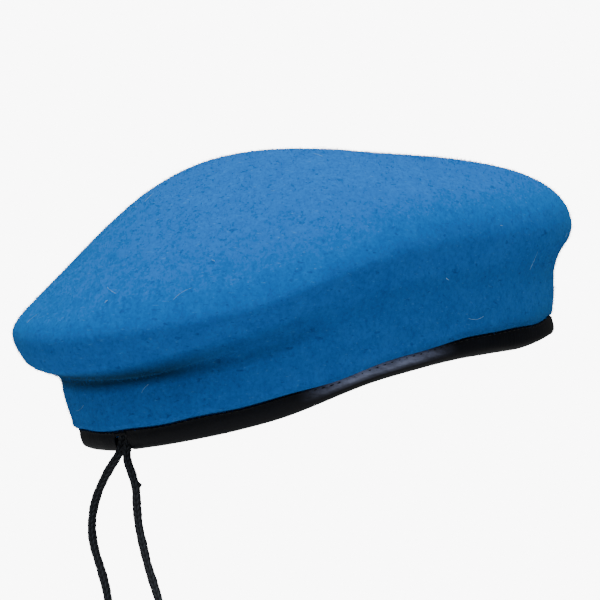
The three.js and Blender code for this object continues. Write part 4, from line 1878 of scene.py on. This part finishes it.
@dataclass
class Studio:
    """Camera, lights, floor and backdrop.

    Attributes:
        azimuth: Where the camera stands, in degrees round from the wearer's right.
        elevation: Its height angle, in degrees.
        distance: From the aim to the camera, in metres.
        view_width: Width of the view at the aim, in metres.
        aim: Sideways and upward shift of the aim from the origin, in metres.
        sensor: Width of the camera's sensor, in millimetres.
        key: Power of the key light, in watts.
        top: Power of the light from above.
        fill: Power of the fill light.
        air: Brightness of the world's even light.
        backdrop: Brightness of the world as the camera sees it.
        floor_drop: How far the floor lies below the origin, in metres.
    """

    azimuth: float = -40.0
    elevation: float = -9.0
    distance: float = 1.2
    view_width: float = 0.248
    aim: tuple[float, float] = (-0.0090, 0.0382)
    sensor: float = 36.0
    key: float = 29.0
    top: float = 8.5
    fill: float = 27.0
    air: float = 0.10
    backdrop: float = 9.0
    floor_drop: float = 0.42

    def axes(self) -> tuple[Vector, Vector, Vector]:
        """The camera's right, up and backward directions."""
        turn, lift = math.radians(self.azimuth), math.radians(self.elevation)
        back = Vector((math.sin(turn) * math.cos(lift), -math.cos(turn) * math.cos(lift), math.sin(lift)))
        right = Vector((math.cos(turn), math.sin(turn), 0))
        return right, back.cross(right), back

    def camera(self) -> None:
        """Place the camera."""
        right, up, back = self.axes()
        aim = right * self.aim[0] + up * self.aim[1]
        data = bpy.data.cameras.new("camera")
        data.sensor_width = self.sensor
        data.lens = self.sensor * self.distance / self.view_width
        data.clip_end = 50.0
        camera = bpy.data.objects.new("camera", data)
        bpy.context.scene.collection.objects.link(camera)
        camera.location = aim + back * self.distance
        camera.rotation_euler = back.to_track_quat("Z", "Y").to_euler()
        bpy.context.scene.camera = camera

    def lamp(self, name: str, place: Vector, size: float, watts: float) -> None:
        """Add a soft square light that faces the hat.

        Args:
            name: The light's name.
            place: Where it stands.
            size: Side of the square, in metres.
            watts: Power.
        """
        data = bpy.data.lights.new(name, "AREA")
        data.size = size
        data.energy = watts
        lamp = bpy.data.objects.new(name, data)
        bpy.context.scene.collection.objects.link(lamp)
        lamp.location = place
        lamp.rotation_euler = (place - Vector((0, 0, 0.03))).to_track_quat("Z", "Y").to_euler()

    def lights(self) -> None:
        """Set the soft lights."""
        right, _, back = self.axes()
        up = Vector((0, 0, 1))
        self.lamp("key_light", back * 0.9 - right * 0.6 + up * 1.9, 1.1, self.key)
        self.lamp("top_light", up * 1.8 - right * 0.2 - back * 0.2, 1.4, self.top)
        self.lamp("fill_light", back * 1.0 + right * 0.5 + up * 1.8, 1.1, self.fill)

    def world(self) -> None:
        """Surround the set with pale, even light."""
        world = bpy.data.worlds.new("studio_air")
        world.use_nodes = True
        tree = world.node_tree
        tree.nodes.clear()
        output = tree.nodes.new("ShaderNodeOutputWorld")
        air = tree.nodes.new("ShaderNodeBackground")
        air.inputs["Color"].default_value = (*WHITE, 1.0)
        air.inputs["Strength"].default_value = self.air
        backdrop = tree.nodes.new("ShaderNodeBackground")
        backdrop.inputs["Color"].default_value = (*WHITE, 1.0)
        backdrop.inputs["Strength"].default_value = self.backdrop
        seen = tree.nodes.new("ShaderNodeLightPath")
        mix = tree.nodes.new("ShaderNodeMixShader")
        tree.links.new(seen.outputs["Is Camera Ray"], mix.inputs["Fac"])
        tree.links.new(air.outputs["Background"], mix.inputs[1])
        tree.links.new(backdrop.outputs["Background"], mix.inputs[2])
        tree.links.new(mix.outputs["Shader"], output.inputs["Surface"])
        bpy.context.scene.world = world

    def floor(self) -> None:
        """Lay a plain pale floor well under the hat."""
        deselect()
        bpy.ops.mesh.primitive_plane_add(size=8.0, location=(0, 0, -self.floor_drop))
        floor = bpy.context.active_object
        floor.name = "floor"
        bench = NodeBench("floor_paint")
        mottle = bench.speckle(bench.place(), 3.0, 2.0)
        colour = bench.ramp(mottle, "Fac", ((0.3, (0.80, 0.80, 0.80)), (0.7, (0.84, 0.84, 0.84))))
        bench.paint(colour)
        bench.set(Roughness=0.9)
        floor.data.materials.append(bench.material)
        floor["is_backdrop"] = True

    def build(self) -> None:
        """Set up everything."""
        self.camera()
        self.lights()
        self.world()
        self.floor()


# ---------------------------------------------------------------- main


def main() -> None:
    """Build and dress the beret."""
    logging.basicConfig(level=logging.INFO, format="%(message)s")
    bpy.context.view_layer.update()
    deselect()
    Studio().build()
    finishes = Finishes()

    for side, body, route, snag in (
        ("left", Body.LEFT_END, LEFT_ROUTE, None),
        ("right", Body.RIGHT_END, RIGHT_ROUTE, (0.0235, 0.361)),
    ):
        for piece in CordTail(side, body, route, exit=route[2], snag=snag).build():
            finishes.dress(piece, Slot.BRAID)
    finishes.dress(DrawcordLoop().build(), Slot.BRAID)

    crown = WoolCrown()
    felt = crown.build()
    finishes.dress(felt, Slot.FELT)
    nap = Nap(crown.grid)
    finishes.dress(nap.build_fibres(), Slot.FELT)
    lint = nap.build_lint()
    finishes.dress(lint, Slot.FELT)
    lint.data.materials[0] = LintFinish().material()
    crown.declare(felt)

    binding = LeatherBinding()
    strip = binding.build()
    finishes.dress(strip, Slot.LEATHER)
    binding.declare(strip)

    lining = Lining()
    finishes.dress(lining.side(), Slot.LINING)
    finishes.dress(lining.top(), Slot.LINING)
    finishes.dress(SizeLabel().build(), Slot.LABEL)
    finishes.dress_node("badge_stiffener", Slot.BOARD)
    finishes.dress_node("label_stitches", Slot.THREAD)

    seams = Stitching()
    outside = seams.band_row("outer_stitches", binding.outer_face - 0.16, binding.height - 0.35, 1.0)
    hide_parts("binding_thread_outside")
    head_face = -FORM.wool - binding.outer_face
    inside = seams.band_row("inner_stitches", head_face - 0.05, binding.height - 0.5, -1.0)
    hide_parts("binding_thread_inside")
    joined = seams.crown_row("lining_stitches", lining.seam_row, lining.inset + 0.8)
    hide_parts("lining_seam")
    fine_seams = Stitching(thread=0.4, length=1.3)
    tack = fine_seams.bar_tack("slot_bar_tack", binding.outer_face + 0.15, 6.6, 7.6, 7.2)
    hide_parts("bar_tack")
    for row in (outside, inside, joined, tack):
        finishes.dress(row, Slot.THREAD)

    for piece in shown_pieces():
        log.info("piece %s", piece.name)


if __name__ == "__main__":
    main()
